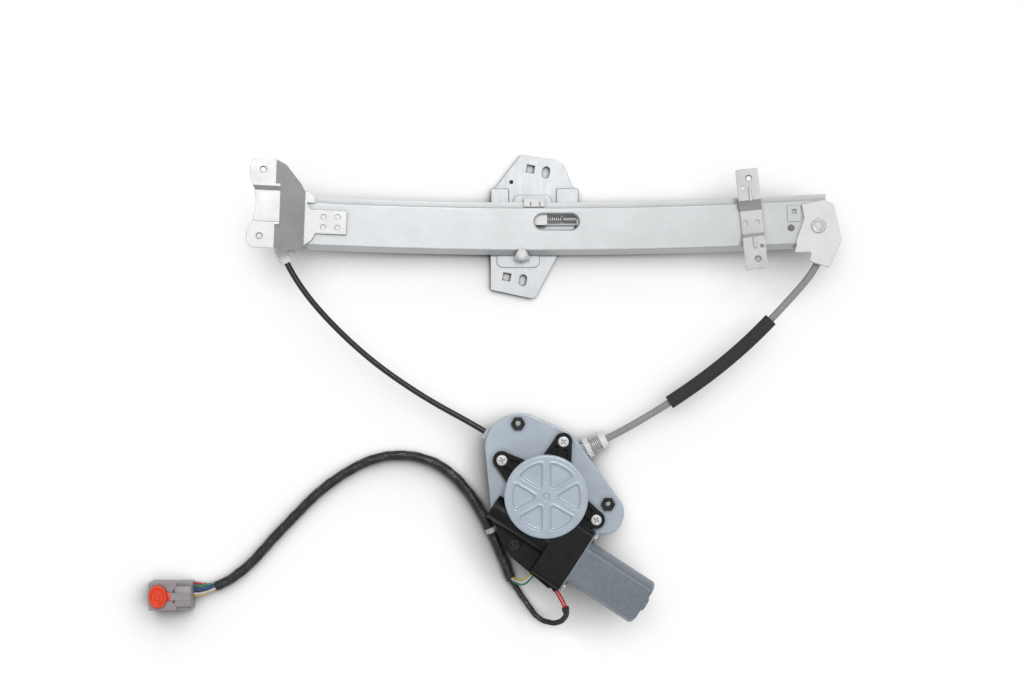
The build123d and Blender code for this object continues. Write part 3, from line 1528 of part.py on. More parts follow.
with BuildPart() as gear_housing:
    with BuildSketch(gear_plane.offset(plate_top)):
        Circle(barrel_radius)
    extrude(amount=housing_top - plate_top)
    # wing under the motor's end, and the three screw arms
    with BuildSketch(Plane.XY.offset(plate_top)):
        with BuildLine():
            FilletPolyline(*wing_outline, radius=3, close=True)
        make_face()
    extrude(amount=wing_top - plate_top)
    with BuildSketch(Plane.XY.offset(plate_top)):
        for place, angle in zip(mount_places, mount_angles):
            with Locations(place):
                Circle(arm_end)
            with Locations(Location((gear_centre[0], gear_centre[1]), angle)):
                Polygon(
                    (barrel_radius - 5, -13),
                    (mount_radius, -arm_end),
                    (mount_radius, arm_end),
                    (barrel_radius - 5, 13),
                    align=None,
                )
    extrude(amount=arm_top - plate_top)
    # pockets that lighten the arms
    with BuildSketch(Plane.XY.offset(arm_top)):
        for angle in mount_angles:
            with Locations(Location((gear_centre[0], gear_centre[1]), angle)):
                for side in (-1, 1):
                    Polygon(
                        (barrel_radius + 1, side * 2.0),
                        (mount_radius - 5.5, side * 2.0),
                        (mount_radius - 5.0, side * 5.0),
                        (barrel_radius + 1, side * 8.0),
                        align=None,
                    )
    extrude(amount=-3.5, mode=Mode.SUBTRACT)
    # tube round the worm, and the block that the motor bolts to
    with BuildSketch(motor_section(shaft_front - 4.2)):
        Circle(worm_tube_radius)
    extrude(amount=block_start + 5 - shaft_front + 4.2)
    with BuildSketch(motor_section(block_start)):
        with Locations((0, (block_bottom + block_top) / 2 - worm_level)):
            RectangleRounded(2 * block_half, block_top - block_bottom, 4)
    extrude(amount=flange_start - block_start)
    with BuildSketch(gear_plane.offset(housing_top)):
        Circle(lid_radius + lid_gap)
    extrude(amount=10, mode=Mode.SUBTRACT)
    # snout that the motor's leads come out of
    with BuildSketch(section_at(port_plane)):
        Circle(port_radius)
    extrude(amount=port_length)
    # wheel chamber, worm bore and bearings
    with BuildSketch(gear_plane.offset(housing_floor)):
        Circle(barrel_chamber)
    extrude(amount=housing_top, mode=Mode.SUBTRACT)
    with BuildSketch(motor_section(shaft_front + 4.8)):
        Circle(worm_bore)
    extrude(amount=20 - shaft_front - 4.8, mode=Mode.SUBTRACT)
    with BuildSketch(motor_section(shaft_front - 0.3)):
        Circle(motor_shaft_radius + running_gap)
    extrude(amount=10, mode=Mode.SUBTRACT)
    with BuildSketch(motor_section(19)):
        Circle(bush_radius + 0.01)
    extrude(amount=8, mode=Mode.SUBTRACT)
    with BuildSketch(motor_section(25)):
        Circle(motor_shaft_radius + 1.5)
    extrude(amount=10, mode=Mode.SUBTRACT)
    with BuildSketch(motor_section(chamber_start)):
        Circle(brush_chamber)
        Rectangle(4 * can_radius, 2 * brush_chamber_half, mode=Mode.INTERSECT)
    extrude(amount=flange_start - chamber_start + 1, mode=Mode.SUBTRACT)
    with BuildSketch(gear_plane.offset(plate_top - 1)):
        Circle(output_shaft_radius + running_gap)
    extrude(amount=5, mode=Mode.SUBTRACT)
    with BuildSketch(Plane.XY.offset(plate_top - 1)):
        with Locations(*mount_places):
            Circle(mount_shank + running_gap)
        with Locations(insert_places[2]):
            RegularPolygon(m6_insert_flats / 2 + insert_clear, 6, major_radius=False)
    extrude(amount=12, mode=Mode.SUBTRACT)
    with BuildSketch(motor_section(flange_start)):
        with Locations((-can_screw_reach, 0), (can_screw_reach, 0)):
            Circle(mount_shank + running_gap)
    extrude(amount=-11, mode=Mode.SUBTRACT)
gear_housing.part.label = "gear_housing"
export_step(gear_housing.part, "parts/gear_housing.step")

# ---------------------------------------------------------------- gear cover
spoke_half = 2.7
sector_inner = 8.8
sector_outer = 27.2
sector_depth = 1.4

with BuildPart() as gear_cover:
    with BuildSketch(gear_plane.offset(housing_top)):
        Circle(lid_radius)
    extrude(amount=lid_top - housing_top)
    fillet(gear_cover.edges().group_by(Axis.Z)[-1], 1.0)
    with BuildSketch(gear_plane.offset(housing_top)):
        Circle(barrel_chamber - 0.2)
        Circle(barrel_chamber - 2.2, mode=Mode.SUBTRACT)
    extrude(amount=-2.5)
    # six recessed sectors between the spokes, and a dimple at the middle
    with BuildSketch(Plane(origin=(gear_centre[0], gear_centre[1], lid_top - sector_depth))):
        Circle(sector_outer)
        Circle(sector_inner, mode=Mode.SUBTRACT)
        with Locations(*[Location((0, 0), angle) for angle in (90, 30, -30)]):
            Rectangle(2 * sector_outer + 2, 2 * spoke_half, mode=Mode.SUBTRACT)
    extrude(amount=sector_depth + 1, taper=-12, mode=Mode.SUBTRACT)
    with BuildSketch(gear_plane.offset(lid_top - 0.8)):
        Circle(2.8)
    extrude(amount=2, mode=Mode.SUBTRACT)
gear_cover.part.label = "gear_cover"
export_step(gear_cover.part, "parts/gear_cover.step")

for number, place in enumerate(mount_places, start=1):
    with BuildPart() as housing_screw:
        with BuildSketch(Plane.XY.offset(arm_top)):
            with Locations(place):
                Circle(mount_head)
        extrude(amount=2.6)
        fillet(housing_screw.edges().group_by(Axis.Z)[-1], 0.9)
        with BuildSketch(Plane.XY.offset(arm_top + 3)):
            with Locations(Location(place, 20 * number)):
                Rectangle(5.0, 1.0)
                Rectangle(1.0, 5.0)
        extrude(amount=-2.0, mode=Mode.SUBTRACT)
        with BuildSketch(Plane.XY.offset(arm_top)):
            with Locations(place):
                Circle(mount_shank)
        extrude(amount=plate_bottom - arm_top - 2)
    housing_screw.part.label = f"housing_screw_{number}"
    export_step(housing_screw.part, f"parts/housing_screw_{number}.step")

# ---------------------------------------------------------------- harness
# Each cord's route, and the bend at each corner; no bend is tighter than its cable allows.
harness_radius = 4.0
tail_radius = 2.2
sensor_radius = 0.9
harness_route = (
    (-283.3, -164.5, 4.1),
    (-266.0, -164.5, 4.1),
    (-240.0, -147.0, 4.1),
    (-217.0, -120.5, 4.1),
    (-172.0, -74.5, 4.1),
    (-124.0, -51.5, 4.1),
    (-76.0, -63.0, 4.1),
    (-42.5, -110.5, 4.1),
    (-25.3, -157.0, 4.1),
)
tail_route = (
    (10.4, -162.33, 26.0),
    (17.73, -173.7, 26.0),
    (19.5, -185.0, 19.5),
    (10.0, -192.0, 11.5),
    (-4.0, -188.5, 5.5),
    (-16.0, -171.5, 2.7),
    (-25.29, -157.04, 2.7),
)
sensor_route = (
    (-8.6, -150.3, 21.0),
    (-12.6, -154.9, 21.0),
    (-18.0, -158.2, 14.0),
    (-24.3, -155.9, 6.4),
)


def bends(route):
    """Radius of the bend at each inner corner of a cord's route."""
    radii = []
    for before, corner, after in zip(route, route[1:], route[2:]):
        inward = Vector(*corner) - Vector(*before)
        outward = Vector(*after) - Vector(*corner)
        half_turn = radians(inward.get_angle(outward)) / 2
        radii.append(0.45 * min(inward.length, outward.length) / tan(half_turn))
    return radii


cord_runs = {}
for name, route, radius in (
    ("harness_tube", harness_route, harness_radius),
    ("harness_tail", tail_route, tail_radius),
    ("sensor_leads", sensor_route, sensor_radius),
):
    with BuildPart() as cord:
        cord_bends = bends(route)
        with BuildLine() as run:
            FilletPolyline(*route, radius=cord_bends)
        run_wire = run.wire()
        cord_runs[name] = run_wire
        with BuildSketch(Plane(origin=run_wire @ 0, z_dir=run_wire % 0)):
            Circle(radius)
        sweep(path=run_wire)
    print(
        name,
        "length", round(run_wire.length, 1),
        "tightest bend", round(min(cord_bends), 1),
        "volume ratio", round(cord.part.volume / (pi * radius**2 * run_wire.length), 4),
    )
    cord.part.label = name
    export_step(cord.part, f"parts/{name}.step")

tie_along = 0.875
tie_width = 4.0
tie_thickness = 1.2
tie_clear = 0.12

with BuildPart() as cable_tie:
    tie_run = cord_runs["harness_tube"]
    tie_plane = Plane(origin=tie_run @ tie_along, x_dir=(0, 0, 1), z_dir=tie_run % tie_along)
    with BuildSketch(tie_plane):
        Circle(harness_radius + tie_thickness)
        with Locations((harness_radius + 1.6, 0)):
            RectangleRounded(4.6, 5.0, 0.8)
        Circle(harness_radius + tie_clear, mode=Mode.SUBTRACT)
        with Locations((4.9, 0)):
            Rectangle(17.8, 20, mode=Mode.INTERSECT)
    extrude(amount=tie_width / 2, both=True)
cable_tie.part.label = "cable_tie"
export_step(cable_tie.part, "parts/cable_tie.step")

# ---------------------------------------------------------------- connector
connector_left = -318.2
connector_right = -283.3
connector_front = -180.0
connector_back = -157.3
connector_height = 18.0
connector_wall = 1.6
cavity_depth = 16.0
clip_centre = (-311.0, -168.6)
clip_radius = 8.2

with BuildPart() as connector_body:
    with BuildSketch(Plane.XY):
        with Locations(((connector_left + connector_right) / 2, (connector_front + connector_back) / 2)):
            RectangleRounded(connector_right - connector_left, connector_back - connector_front, 1.5)
    extrude(amount=connector_height)
    chamfer(connector_body.edges().group_by(Axis.Z)[-1], 0.8)
    # the rear half is narrower, with a locking rib along the top
    with BuildSketch(Plane.XY.offset(connector_height - 3)):
        with Locations((connector_right - 4, connector_front), (connector_right - 4, connector_back)):
            Rectangle(16, 6)
    extrude(amount=4, mode=Mode.SUBTRACT)
    with BuildSketch(Plane.XY.offset(connector_height)):
        with Locations((connector_right - 9, clip_centre[1])):
            Rectangle(16, 6)
    extrude(amount=1.2)
    # mating cavity on the left face
    mating_face = Plane(
        origin=(connector_left, clip_centre[1], connector_height / 2), x_dir=(0, 1, 0), z_dir=(1, 0, 0)
    )
    with BuildSketch(mating_face):
        RectangleRounded(
            connector_back - connector_front - 2 * connector_wall, connector_height - 2 * connector_wall, 1.0
        )
    extrude(amount=cavity_depth, mode=Mode.SUBTRACT)
connector_body.part.label = "connector_body"
export_step(connector_body.part, "parts/connector_body.step")

with BuildPart() as connector_terminals:
    with BuildSketch(mating_face.offset(4)):
        with GridLocations(5.0, 5.0, 3, 2):
            Rectangle(2.2, 0.8)
    extrude(amount=cavity_depth - 4)
connector_terminals.part.label = "connector_terminals"
export_step(connector_terminals.part, "parts/connector_terminals.step")

with BuildPart() as connector_clip:
    with BuildSketch(Plane.XY.offset(connector_height + 0.02)):
        with Locations(clip_centre):
            Circle(2.6)
    extrude(amount=1.6)
    with BuildSketch(Plane.XY.offset(connector_height + 1.6)):
        with Locations(clip_centre):
            Circle(clip_radius)
    extrude(amount=1.4)
    with BuildSketch(Plane.XY.offset(connector_height + 3.2)):
        with Locations(clip_centre):
            Circle(clip_radius - 1.2)
    extrude(amount=-0.9, taper=30, mode=Mode.SUBTRACT)
    with BuildSketch(Plane.XY.offset(connector_height + 1.6)):
        with Locations(clip_centre):
            Circle(2.6)
    extrude(amount=2.6)
connector_clip.part.label = "connector_clip"
export_step(connector_clip.part, "parts/connector_clip.step")
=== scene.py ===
import json
from math import cos, pi, radians, sin, sqrt

import bpy
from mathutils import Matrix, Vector


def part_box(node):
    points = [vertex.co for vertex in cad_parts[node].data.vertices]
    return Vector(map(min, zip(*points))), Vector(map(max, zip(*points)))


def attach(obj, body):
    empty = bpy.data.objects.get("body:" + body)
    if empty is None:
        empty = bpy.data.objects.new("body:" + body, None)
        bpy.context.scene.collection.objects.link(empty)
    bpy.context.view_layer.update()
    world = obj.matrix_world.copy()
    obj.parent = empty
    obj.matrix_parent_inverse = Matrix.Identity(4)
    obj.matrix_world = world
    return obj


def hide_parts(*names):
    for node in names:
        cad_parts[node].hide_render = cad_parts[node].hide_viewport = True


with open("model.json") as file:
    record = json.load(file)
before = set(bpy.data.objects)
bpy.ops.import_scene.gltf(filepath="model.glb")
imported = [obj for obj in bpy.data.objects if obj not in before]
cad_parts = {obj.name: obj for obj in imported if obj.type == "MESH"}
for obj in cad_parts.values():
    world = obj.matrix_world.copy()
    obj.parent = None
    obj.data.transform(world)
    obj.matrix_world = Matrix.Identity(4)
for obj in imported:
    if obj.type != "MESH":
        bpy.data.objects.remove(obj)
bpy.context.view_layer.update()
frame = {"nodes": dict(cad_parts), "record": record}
nodes = frame["nodes"]
MM = 0.001

# ---------------------------------------------------------------- camera
# It looks straight down from 1.5 m. At the height of the rail's face a pixel is 0.8 mm wide.
CAMERA_PLACE = (-0.0248, 0.0372, 1.5)
FACE_HEIGHT = 0.03
PIXEL = 0.0008
PICTURE_WIDTH = 1024
SENSOR_WIDTH = 36
camera_data = bpy.data.cameras.new("camera")
camera_data.sensor_width = SENSOR_WIDTH
camera_data.lens = SENSOR_WIDTH * (CAMERA_PLACE[2] - FACE_HEIGHT) / (PICTURE_WIDTH * PIXEL)
camera_data.clip_end = 50
camera = bpy.data.objects.new("camera", camera_data)
camera.location = CAMERA_PLACE
bpy.context.scene.collection.objects.link(camera)
bpy.context.scene.camera = camera


# ---------------------------------------------------------------- node trees
class Nodes:
    """An emptied node tree, with short ways to add and link its nodes."""

    def __init__(self, tree):
        self.tree = tree
        tree.nodes.clear()

    def link(self, source, socket):
        self.tree.links.new(source, socket)

    def add(self, kind, **values):
        """A node with some of its sockets or settings given."""
        node = self.tree.nodes.new(kind)
        for key, value in values.items():
            if key in node.inputs:
                node.inputs[key].default_value = value
            else:
                setattr(node, key, value)
        return node

    def noise(self, place, **values):
        node = self.add("ShaderNodeTexNoise", **values)
        self.link(place, node.inputs["Vector"])
        return node.outputs["Fac"]

    def bump(self, source, depth, normal):
        node = self.add("ShaderNodeBump", Strength=1.0, Distance=depth)
        self.link(source, node.inputs["Height"])
        self.link(normal, node.inputs["Normal"])
        return node.outputs["Normal"]

    def map_range(self, source, before, after=(0.0, 1.0), **values):
        """Turns the source's range before, from its start to its end, into the range after."""
        node = self.add("ShaderNodeMapRange", **values)
        for socket, value in zip(("From Min", "From Max", "To Min", "To Max"), (*before, *after)):
            node.inputs[socket].default_value = value
        self.link(source, node.inputs["Value"])
        return node.outputs["Result"]

    def mix_colour(self, part, first, second):
        """A mix of two colours, each of them a socket or three numbers."""
        node = self.add("ShaderNodeMix", data_type="RGBA")
        self.link(part, node.inputs[0])
        for socket, value in ((node.inputs[6], first), (node.inputs[7], second)):
            if isinstance(value, tuple):
                socket.default_value = (*value, 1)
            else:
                self.link(value, socket)
        return node.outputs[2]

    def mix_shader(self, part, first, second):
        node = self.add("ShaderNodeMixShader")
        for socket, source in zip(node.inputs, (part, first, second)):
            self.link(source, socket)
        return node.outputs[0]

    def either(self, first, second):
        """1 where at least one of two sockets is 1."""
        node = self.add("ShaderNodeMath", operation="MAXIMUM")
        self.link(first, node.inputs[0])
        self.link(second, node.inputs[1])
        return node.outputs[0]


# ---------------------------------------------------------------- materials
NOISE_BAND = (0.3, 0.7)
# Painted highlight on edges: where it starts and where it is full, and how pale it may get.
EDGE_HIGHLIGHT_BAND = (0.995, 0.88)
EDGE_HIGHLIGHT_PALEST = 0.9
# Painted shade in hollows: how near other surfaces must be, the part of the occlusion that is used, and
# how dark it gets.
HOLLOW_SHADE_REACH = 0.004
HOLLOW_SHADE_BAND = (0.9, 0.35)
HOLLOW_SHADE_LEVEL = 0.35
ROUGH_SPREAD = 0.07


def finish_material(
    name,
    colour,
    rough,
    metallic=0.0,
    mottle=(60, 0.1),
    grain=None,
    bump=(900, 0.00003),
    edge=(0.0004, 0.25),
    hollow_shade=0.0,
    coat=0.0,
    specular=0.5,
):
    """Paint, plastic or metal: mottled colour and roughness, a fine surface bump, and a painted highlight
    on the edges.

    mottle: patches per metre and how far they change the colour. grain: (stretch per axis, depth) of
    drawn or brushed lines. bump: pits per metre and their depth. edge: width of a rounded edge and how
    pale its painted highlight is. hollow_shade: how far the narrow hollows are darkened by painted shade.
    """
    material = bpy.data.materials.new(name)
    material.use_nodes = True
    paint = Nodes(material.node_tree)
    place = paint.add("ShaderNodeTexCoord").outputs["Object"]
    patches = paint.noise(place, Scale=mottle[0], Detail=4.0, Roughness=0.6)
    low = tuple(c * (1 - mottle[1]) for c in colour)
    high = tuple(min(1, c * (1 + mottle[1])) for c in colour)
    colour_out = paint.mix_colour(paint.map_range(patches, NOISE_BAND), low, high)

    rounded = paint.add("ShaderNodeBevel", samples=4, Radius=edge[0]).outputs["Normal"]
    # Painted highlight: at edges, where the rounded normal turns away from the flat one, the colour is
    # painted paler.
    turn = paint.add("ShaderNodeVectorMath", operation="DOT_PRODUCT")
    paint.link(rounded, turn.inputs[0])
    paint.link(paint.add("ShaderNodeNewGeometry").outputs["Normal"], turn.inputs[1])
    edge_highlight = paint.map_range(turn.outputs["Value"], EDGE_HIGHLIGHT_BAND, (0.0, edge[1]))
    highlight_colour = tuple(min(EDGE_HIGHLIGHT_PALEST, c * 1.4 + 0.06) for c in colour)
    colour_out = paint.mix_colour(edge_highlight, colour_out, highlight_colour)

    # Painted shade: the colour is darkened where other surfaces are near, in creases, corners and narrow
    # hollows.
    if hollow_shade:
        hollow = paint.add("ShaderNodeAmbientOcclusion", samples=4, inside=False, Distance=HOLLOW_SHADE_REACH)
        cover = paint.map_range(hollow.outputs["AO"], HOLLOW_SHADE_BAND, (0.0, hollow_shade))
        colour_out = paint.mix_colour(cover, colour_out, tuple(c * HOLLOW_SHADE_LEVEL for c in colour))

    pits = paint.noise(place, Scale=bump[0], Detail=3.0)
    normal = paint.bump(pits, bump[1], rounded)
    rough_source = patches
    if grain:
        stretch = paint.add("ShaderNodeMapping", Scale=grain[0])
        paint.link(place, stretch.inputs["Vector"])
        rough_source = paint.noise(stretch.outputs["Vector"], Scale=1.0, Detail=5.0, Roughness=0.7)
        normal = paint.bump(rough_source, grain[1], normal)
    roughness = (max(0.05, rough - ROUGH_SPREAD), min(1.0, rough + ROUGH_SPREAD))

    shader = paint.add("ShaderNodeBsdfPrincipled", Metallic=metallic)
    shader.inputs["Specular IOR Level"].default_value = specular
    if coat:
        shader.inputs["Coat Weight"].default_value = coat
    paint.link(colour_out, shader.inputs["Base Color"])
    paint.link(paint.map_range(rough_source, NOISE_BAND, roughness), shader.inputs["Roughness"])
    paint.link(normal, shader.inputs["Normal"])
    paint.link(shader.outputs["BSDF"], paint.add("ShaderNodeOutputMaterial").inputs["Surface"])
    return material


finishes = {
    "galvanised_steel": finish_material(
        "rail zinc",
        (0.56, 0.575, 0.585),
        0.42,
        0.5,
        (35, 0.05),
        ((12, 900, 900), 0.00002),
        edge=(0.0007, 0.5),
        hollow_shade=0.6,
    ),
    "zinc_steel": finish_material(
        "bracket zinc",
        (0.56, 0.565, 0.565),
        0.38,
        0.6,
        (45, 0.08),
        ((60, 60, 600), 0.00002),
        edge=(0.0009, 0.5),
        hollow_shade=0.55,
    ),
    "carrier_steel": finish_material(
        "carrier zinc",
        (0.58, 0.60, 0.615),
        0.45,
        0.5,
        (40, 0.08),
        ((400, 50, 200), 0.00002),
        edge=(0.0008, 0.5),
        hollow_shade=0.55,
    ),
    "pin_steel": finish_material(
        "bright steel",
        (0.66, 0.67, 0.68),
        0.36,
        0.6,
        (120, 0.05),
        bump=(500, 0.00001),
        edge=(0.0004, 0.5),
        hollow_shade=0.6,
    ),
    "cable_steel": finish_material(
        "cable steel", (0.25, 0.25, 0.25), 0.35, 0.9, (1500, 0.3), bump=(3000, 0.00008)
    ),
    "white_nylon": finish_material(
        "white nylon", (0.82, 0.825, 0.83), 0.45, 0.0, (90, 0.04), edge=(0.0006, 0.4), hollow_shade=0.25
    ),
    "natural_acetal": finish_material(
        "acetal", (0.76, 0.77, 0.775), 0.4, 0.0, (90, 0.04), edge=(0.0004, 0.3), hollow_shade=0.35
    ),
    "black_conduit": finish_material(
        "black conduit", (0.016, 0.016, 0.017), 0.33, 0.0, (150, 0.25), bump=(700, 0.00008)
    ),
    "grey_conduit": finish_material(
        "grey conduit", (0.30, 0.305, 0.305), 0.3, 0.0, (60, 0.08), coat=0.7
    ),
    "sleeve_foam": finish_material(
        "foam", (0.036, 0.037, 0.037), 0.85, 0.0, (500, 0.35), bump=(1500, 0.0004)
    ),
    "blue_grey_plastic": finish_material(
        "blue grey paint",
        (0.465, 0.53, 0.60),
        0.33,
        0.15,
        (70, 0.02),
        bump=(700, 0.000003),
        edge=(0.0010, 0.6),
        hollow_shade=0.55,
        coat=0.15,
    ),
    "black_plastic": finish_material(
        "black plastic",
        (0.0065, 0.007, 0.0078),
        0.42,
        0.0,
        (120, 0.2),
        bump=(1600, 0.00006),
        edge=(0.0007, 0.12),
        specular=0.22,
    ),
    "dark_insert": finish_material(
        "blackened steel", (0.03, 0.032, 0.034), 0.28, 0.6, (300, 0.3), edge=(0.0004, 0.35)
    ),
    "zinc_alloy": finish_material(
        "zinc alloy", (0.34, 0.35, 0.36), 0.5, 0.7, (300, 0.12), edge=(0.0003, 0.4)
    ),
    "core_steel": finish_material("core steel", (0.18, 0.18, 0.19), 0.5, 0.8, (200, 0.15)),
    "copper": finish_material("copper", (0.70, 0.30, 0.16), 0.3, 0.9, (600, 0.2)),
    "bronze": finish_material("bronze", (0.62, 0.45, 0.24), 0.35, 0.9, (300, 0.12)),
    "carbon": finish_material("carbon", (0.03, 0.03, 0.03), 0.6, 0.1, (400, 0.3)),
    "can_steel": finish_material(
        "can steel",
        (0.20, 0.232, 0.265),
        0.34,
        0.35,
        (50, 0.07),
        ((300, 300, 30), 0.00001),
        edge=(0.0014, 1.0),
        hollow_shade=0.3,
        coat=0.1,
    ),
    "harness_black": finish_material(
        "harness tape",
        (0.016, 0.017, 0.016),
        0.42,
        0.0,
        (350, 0.35),
        bump=(260, 0.0006),
        edge=(0.0002, 0.05),
    ),
    "tie_white": finish_material(
        "tie nylon", (0.50, 0.50, 0.49), 0.4, 0.0, (120, 0.05), edge=(0.0003, 0.3)
    ),
    "connector_grey": finish_material(
        "connector plastic", (0.34, 0.305, 0.325), 0.4, 0.0, (150, 0.06), edge=(0.0005, 0.35), hollow_shade=0.4
    ),
    "clip_orange": finish_material(
        "orange plastic", (0.83, 0.06, 0.01), 0.4, 0.0, (200, 0.06), edge=(0.0005, 0.3), hollow_shade=0.3
    ),
}


def wire_material(name, colour):
    """Glossy insulation of a thin wire."""
    return finish_material(
        name, colour, 0.32, 0.0, (300, 0.12), bump=(1200, 0.00003), edge=(0.0001, 0.0)
    )


wire_colours = {
    "yellow": wire_material("wire yellow", (0.62, 0.44, 0.08)),
    "white": wire_material("wire white", (0.62, 0.62, 0.60)),
    "green": wire_material("wire green", (0.02, 0.20, 0.11)),
    "red": wire_material("wire red", (0.55, 0.015, 0.015)),
    "blue": wire_material("wire blue", (0.03, 0.09, 0.30)),
    "brown": wire_material("wire brown", (0.14, 0.06, 0.03)),
}

for entry in frame["record"]["subparts"]:
    for material_slot in nodes[entry["node"]].material_slots:
        material_slot.material = finishes[entry["material_slot"]]


# ---------------------------------------------------------------- helpers for the pieces
SPLINE_STEPS = 24
WIRE_SIDES = 10
BLOCK_CORNER = 0.0004


def ease(part):
    return part * part * (3 - 2 * part)


def link_piece(name, data, body, slot_name, material=None):
    """Adds a smooth mesh that rides on a body and takes its finish from a slot of the record."""
    piece = bpy.data.objects.new(name, data)
    bpy.context.scene.collection.objects.link(piece)
    data.materials.clear()
    data.materials.append(material or finishes[slot_name])
    data.polygons.foreach_set("use_smooth", [True] * len(data.polygons))
    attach(piece, body)
    return piece


def mesh_from(name, points, faces):
    data = bpy.data.meshes.new(name)
    data.from_pydata([tuple(p) for p in points], [], faces)
    data.validate()
    data.update()
    return data


def route_points(name, route):
    """Points in metres along the smooth spline whose control points are the route's, in mm."""
    data = bpy.data.curves.new(name + "_line", "CURVE")
    data.dimensions = "3D"
    data.resolution_u = SPLINE_STEPS
    spline = data.splines.new("NURBS")
    spline.points.add(len(route) - 1)
    for point, place in zip(spline.points, route):
        point.co = (*[c * MM for c in place], 1)
    spline.order_u = 3
    spline.use_endpoint_u = True
    helper = bpy.data.objects.new(name + "_line", data)
    bpy.context.scene.collection.objects.link(helper)
    bpy.context.view_layer.update()
    depsgraph = bpy.context.evaluated_depsgraph_get()
    line = bpy.data.meshes.new_from_object(helper.evaluated_get(depsgraph))
    points = [v.co.copy() for v in line.vertices]
    bpy.data.meshes.remove(line)
    bpy.data.objects.remove(helper)
    bpy.data.curves.remove(data)
    return points


def spaced(points, count):
    """The same line with evenly spaced points."""
    lengths = [0.0]
    for a, b in zip(points, points[1:]):
        lengths.append(lengths[-1] + (b - a).length)
    result = []
    index = 0
    for step in range(count):
        target = lengths[-1] * step / (count - 1)
        while index < len(points) - 2 and lengths[index + 1] < target:
            index += 1
        span = lengths[index + 1] - lengths[index]
        part = (target - lengths[index]) / span if span else 0
        result.append(points[index].lerp(points[index + 1], min(1, max(0, part))))
    return result


def line_length(line):
    return sum((b - a).length for a, b in zip(line, line[1:]))


def wall_faces(rings, sides):
    """Faces between rings of points that are stacked along a tube or a block."""
    faces = []
    for ring in range(rings - 1):
        for k in range(sides):
            a = ring * sides + k
            b = ring * sides + (k + 1) % sides
            faces.append((a, b, b + sides, a + sides))
    return faces


def disc_faces(rings, sides):
    """Faces of a closed disc: a middle point, then rings of points from it outwards and down."""
    faces = [(0, 1 + k, 1 + (k + 1) % sides) for k in range(sides)]
    for ring in range(rings - 1):
        for k in range(sides):
            a = 1 + ring * sides + k
            b = 1 + ring * sides + (k + 1) % sides
            faces.append((a, a + sides, b + sides, b))
    last = 1 + (rings - 1) * sides
    faces.append(tuple(last + k for k in reversed(range(sides))))
    return faces


def tube_mesh(name, line, radius_at, sides=24):
    """A closed tube along a line; radius_at(step, steps, angle) gives its radius."""
    steps = len(line)
    tangents = []
    for i in range(steps):
        ahead = line[min(i + 1, steps - 1)] - line[max(i - 1, 0)]
        tangents.append(ahead.normalized())
    side = tangents[0].orthogonal().normalized()
    points = []
    for i, (place, tangent) in enumerate(zip(line, tangents)):
        side = (side - tangent * side.dot(tangent)).normalized()
        up = tangent.cross(side)
        for k in range(sides):
            angle = 2 * pi * k / sides
            reach = radius_at(i, steps, angle)
            points.append(place + (side * cos(angle) + up * sin(angle)) * reach)
    faces = wall_faces(steps, sides)
    faces.append(tuple(reversed(range(sides))))
    faces.append(tuple(range((steps - 1) * sides, steps * sides)))
    return mesh_from(name, points, faces)


def disc_mesh(name, centre, half_sizes, rings, sides, height_at, bottom):
    """A solid oval disc. height_at(part of the radius, angle) is its face's height above the bottom."""
    points = [(centre[0], centre[1], bottom + height_at(0, 0))]
    for ring in rings:
        for k in range(sides):
            angle = 2 * pi * k / sides
            x = centre[0] + half_sizes[0] * ring * cos(angle)
            y = centre[1] + half_sizes[1] * ring * sin(angle)
            points.append((x, y, bottom + height_at(ring, angle)))
    for k in range(sides):
        angle = 2 * pi * k / sides
        x = centre[0] + half_sizes[0] * cos(angle)
        y = centre[1] + half_sizes[1] * sin(angle)
        points.append((x, y, bottom))
    return mesh_from(name, points, disc_faces(len(rings) + 1, sides))


def block_mesh(name, low, high, rounding):
    """A box with round corners and softened upper edges."""
    levels = (
        (0, low[2]),
        (0, high[2] - rounding),
        (rounding * 0.3, high[2] - rounding * 0.3),
        (rounding, high[2]),
    )
    corners = (
        (high[0], high[1], 0),
        (low[0], high[1], 90),
        (low[0], low[1], 180),
        (high[0], low[1], 270),
    )
    corner = rounding + BLOCK_CORNER
    points = []
    for inset, level in levels:
        for x, y, start in corners:
            middle_x = x - corner if x == high[0] else x + corner
            middle_y = y - corner if y == high[1] else y + corner
            for turn in range(0, 91, 15):
                angle = radians(start + turn)
                across = middle_x + (corner - inset) * cos(angle)
                along = middle_y + (corner - inset) * sin(angle)
                points.append((across, along, level))
    rings = len(levels)
    sides = len(points) // rings
    faces = [tuple(reversed(range(sides)))]
    faces += wall_faces(rings, sides)
    faces.append(tuple(range((rings - 1) * sides, rings * sides)))
    return mesh_from(name, points, faces)


def wrinkled(radius, turn_pitch, length, depth, seed, collar=0.0):
    """Radius of a tube wound with tape: a step at each turn, soft folds and a thicker start."""

    def radius_at(step, steps, angle):
        along = length * step / (steps - 1)
        wind = (along / turn_pitch + angle / (2 * pi)) % 1
        flare = 1 + collar * (1 - ease(min(1, along / 0.008)))
        lap = -depth * wind
        fold = 0.45 * depth * sin(3 * angle + 90 * along + seed) * sin(210 * along + 2 * seed)
        fold += 0.35 * depth * sin(5 * angle - 310 * along + seed)
        return radius * flare + lap + fold

    return radius_at


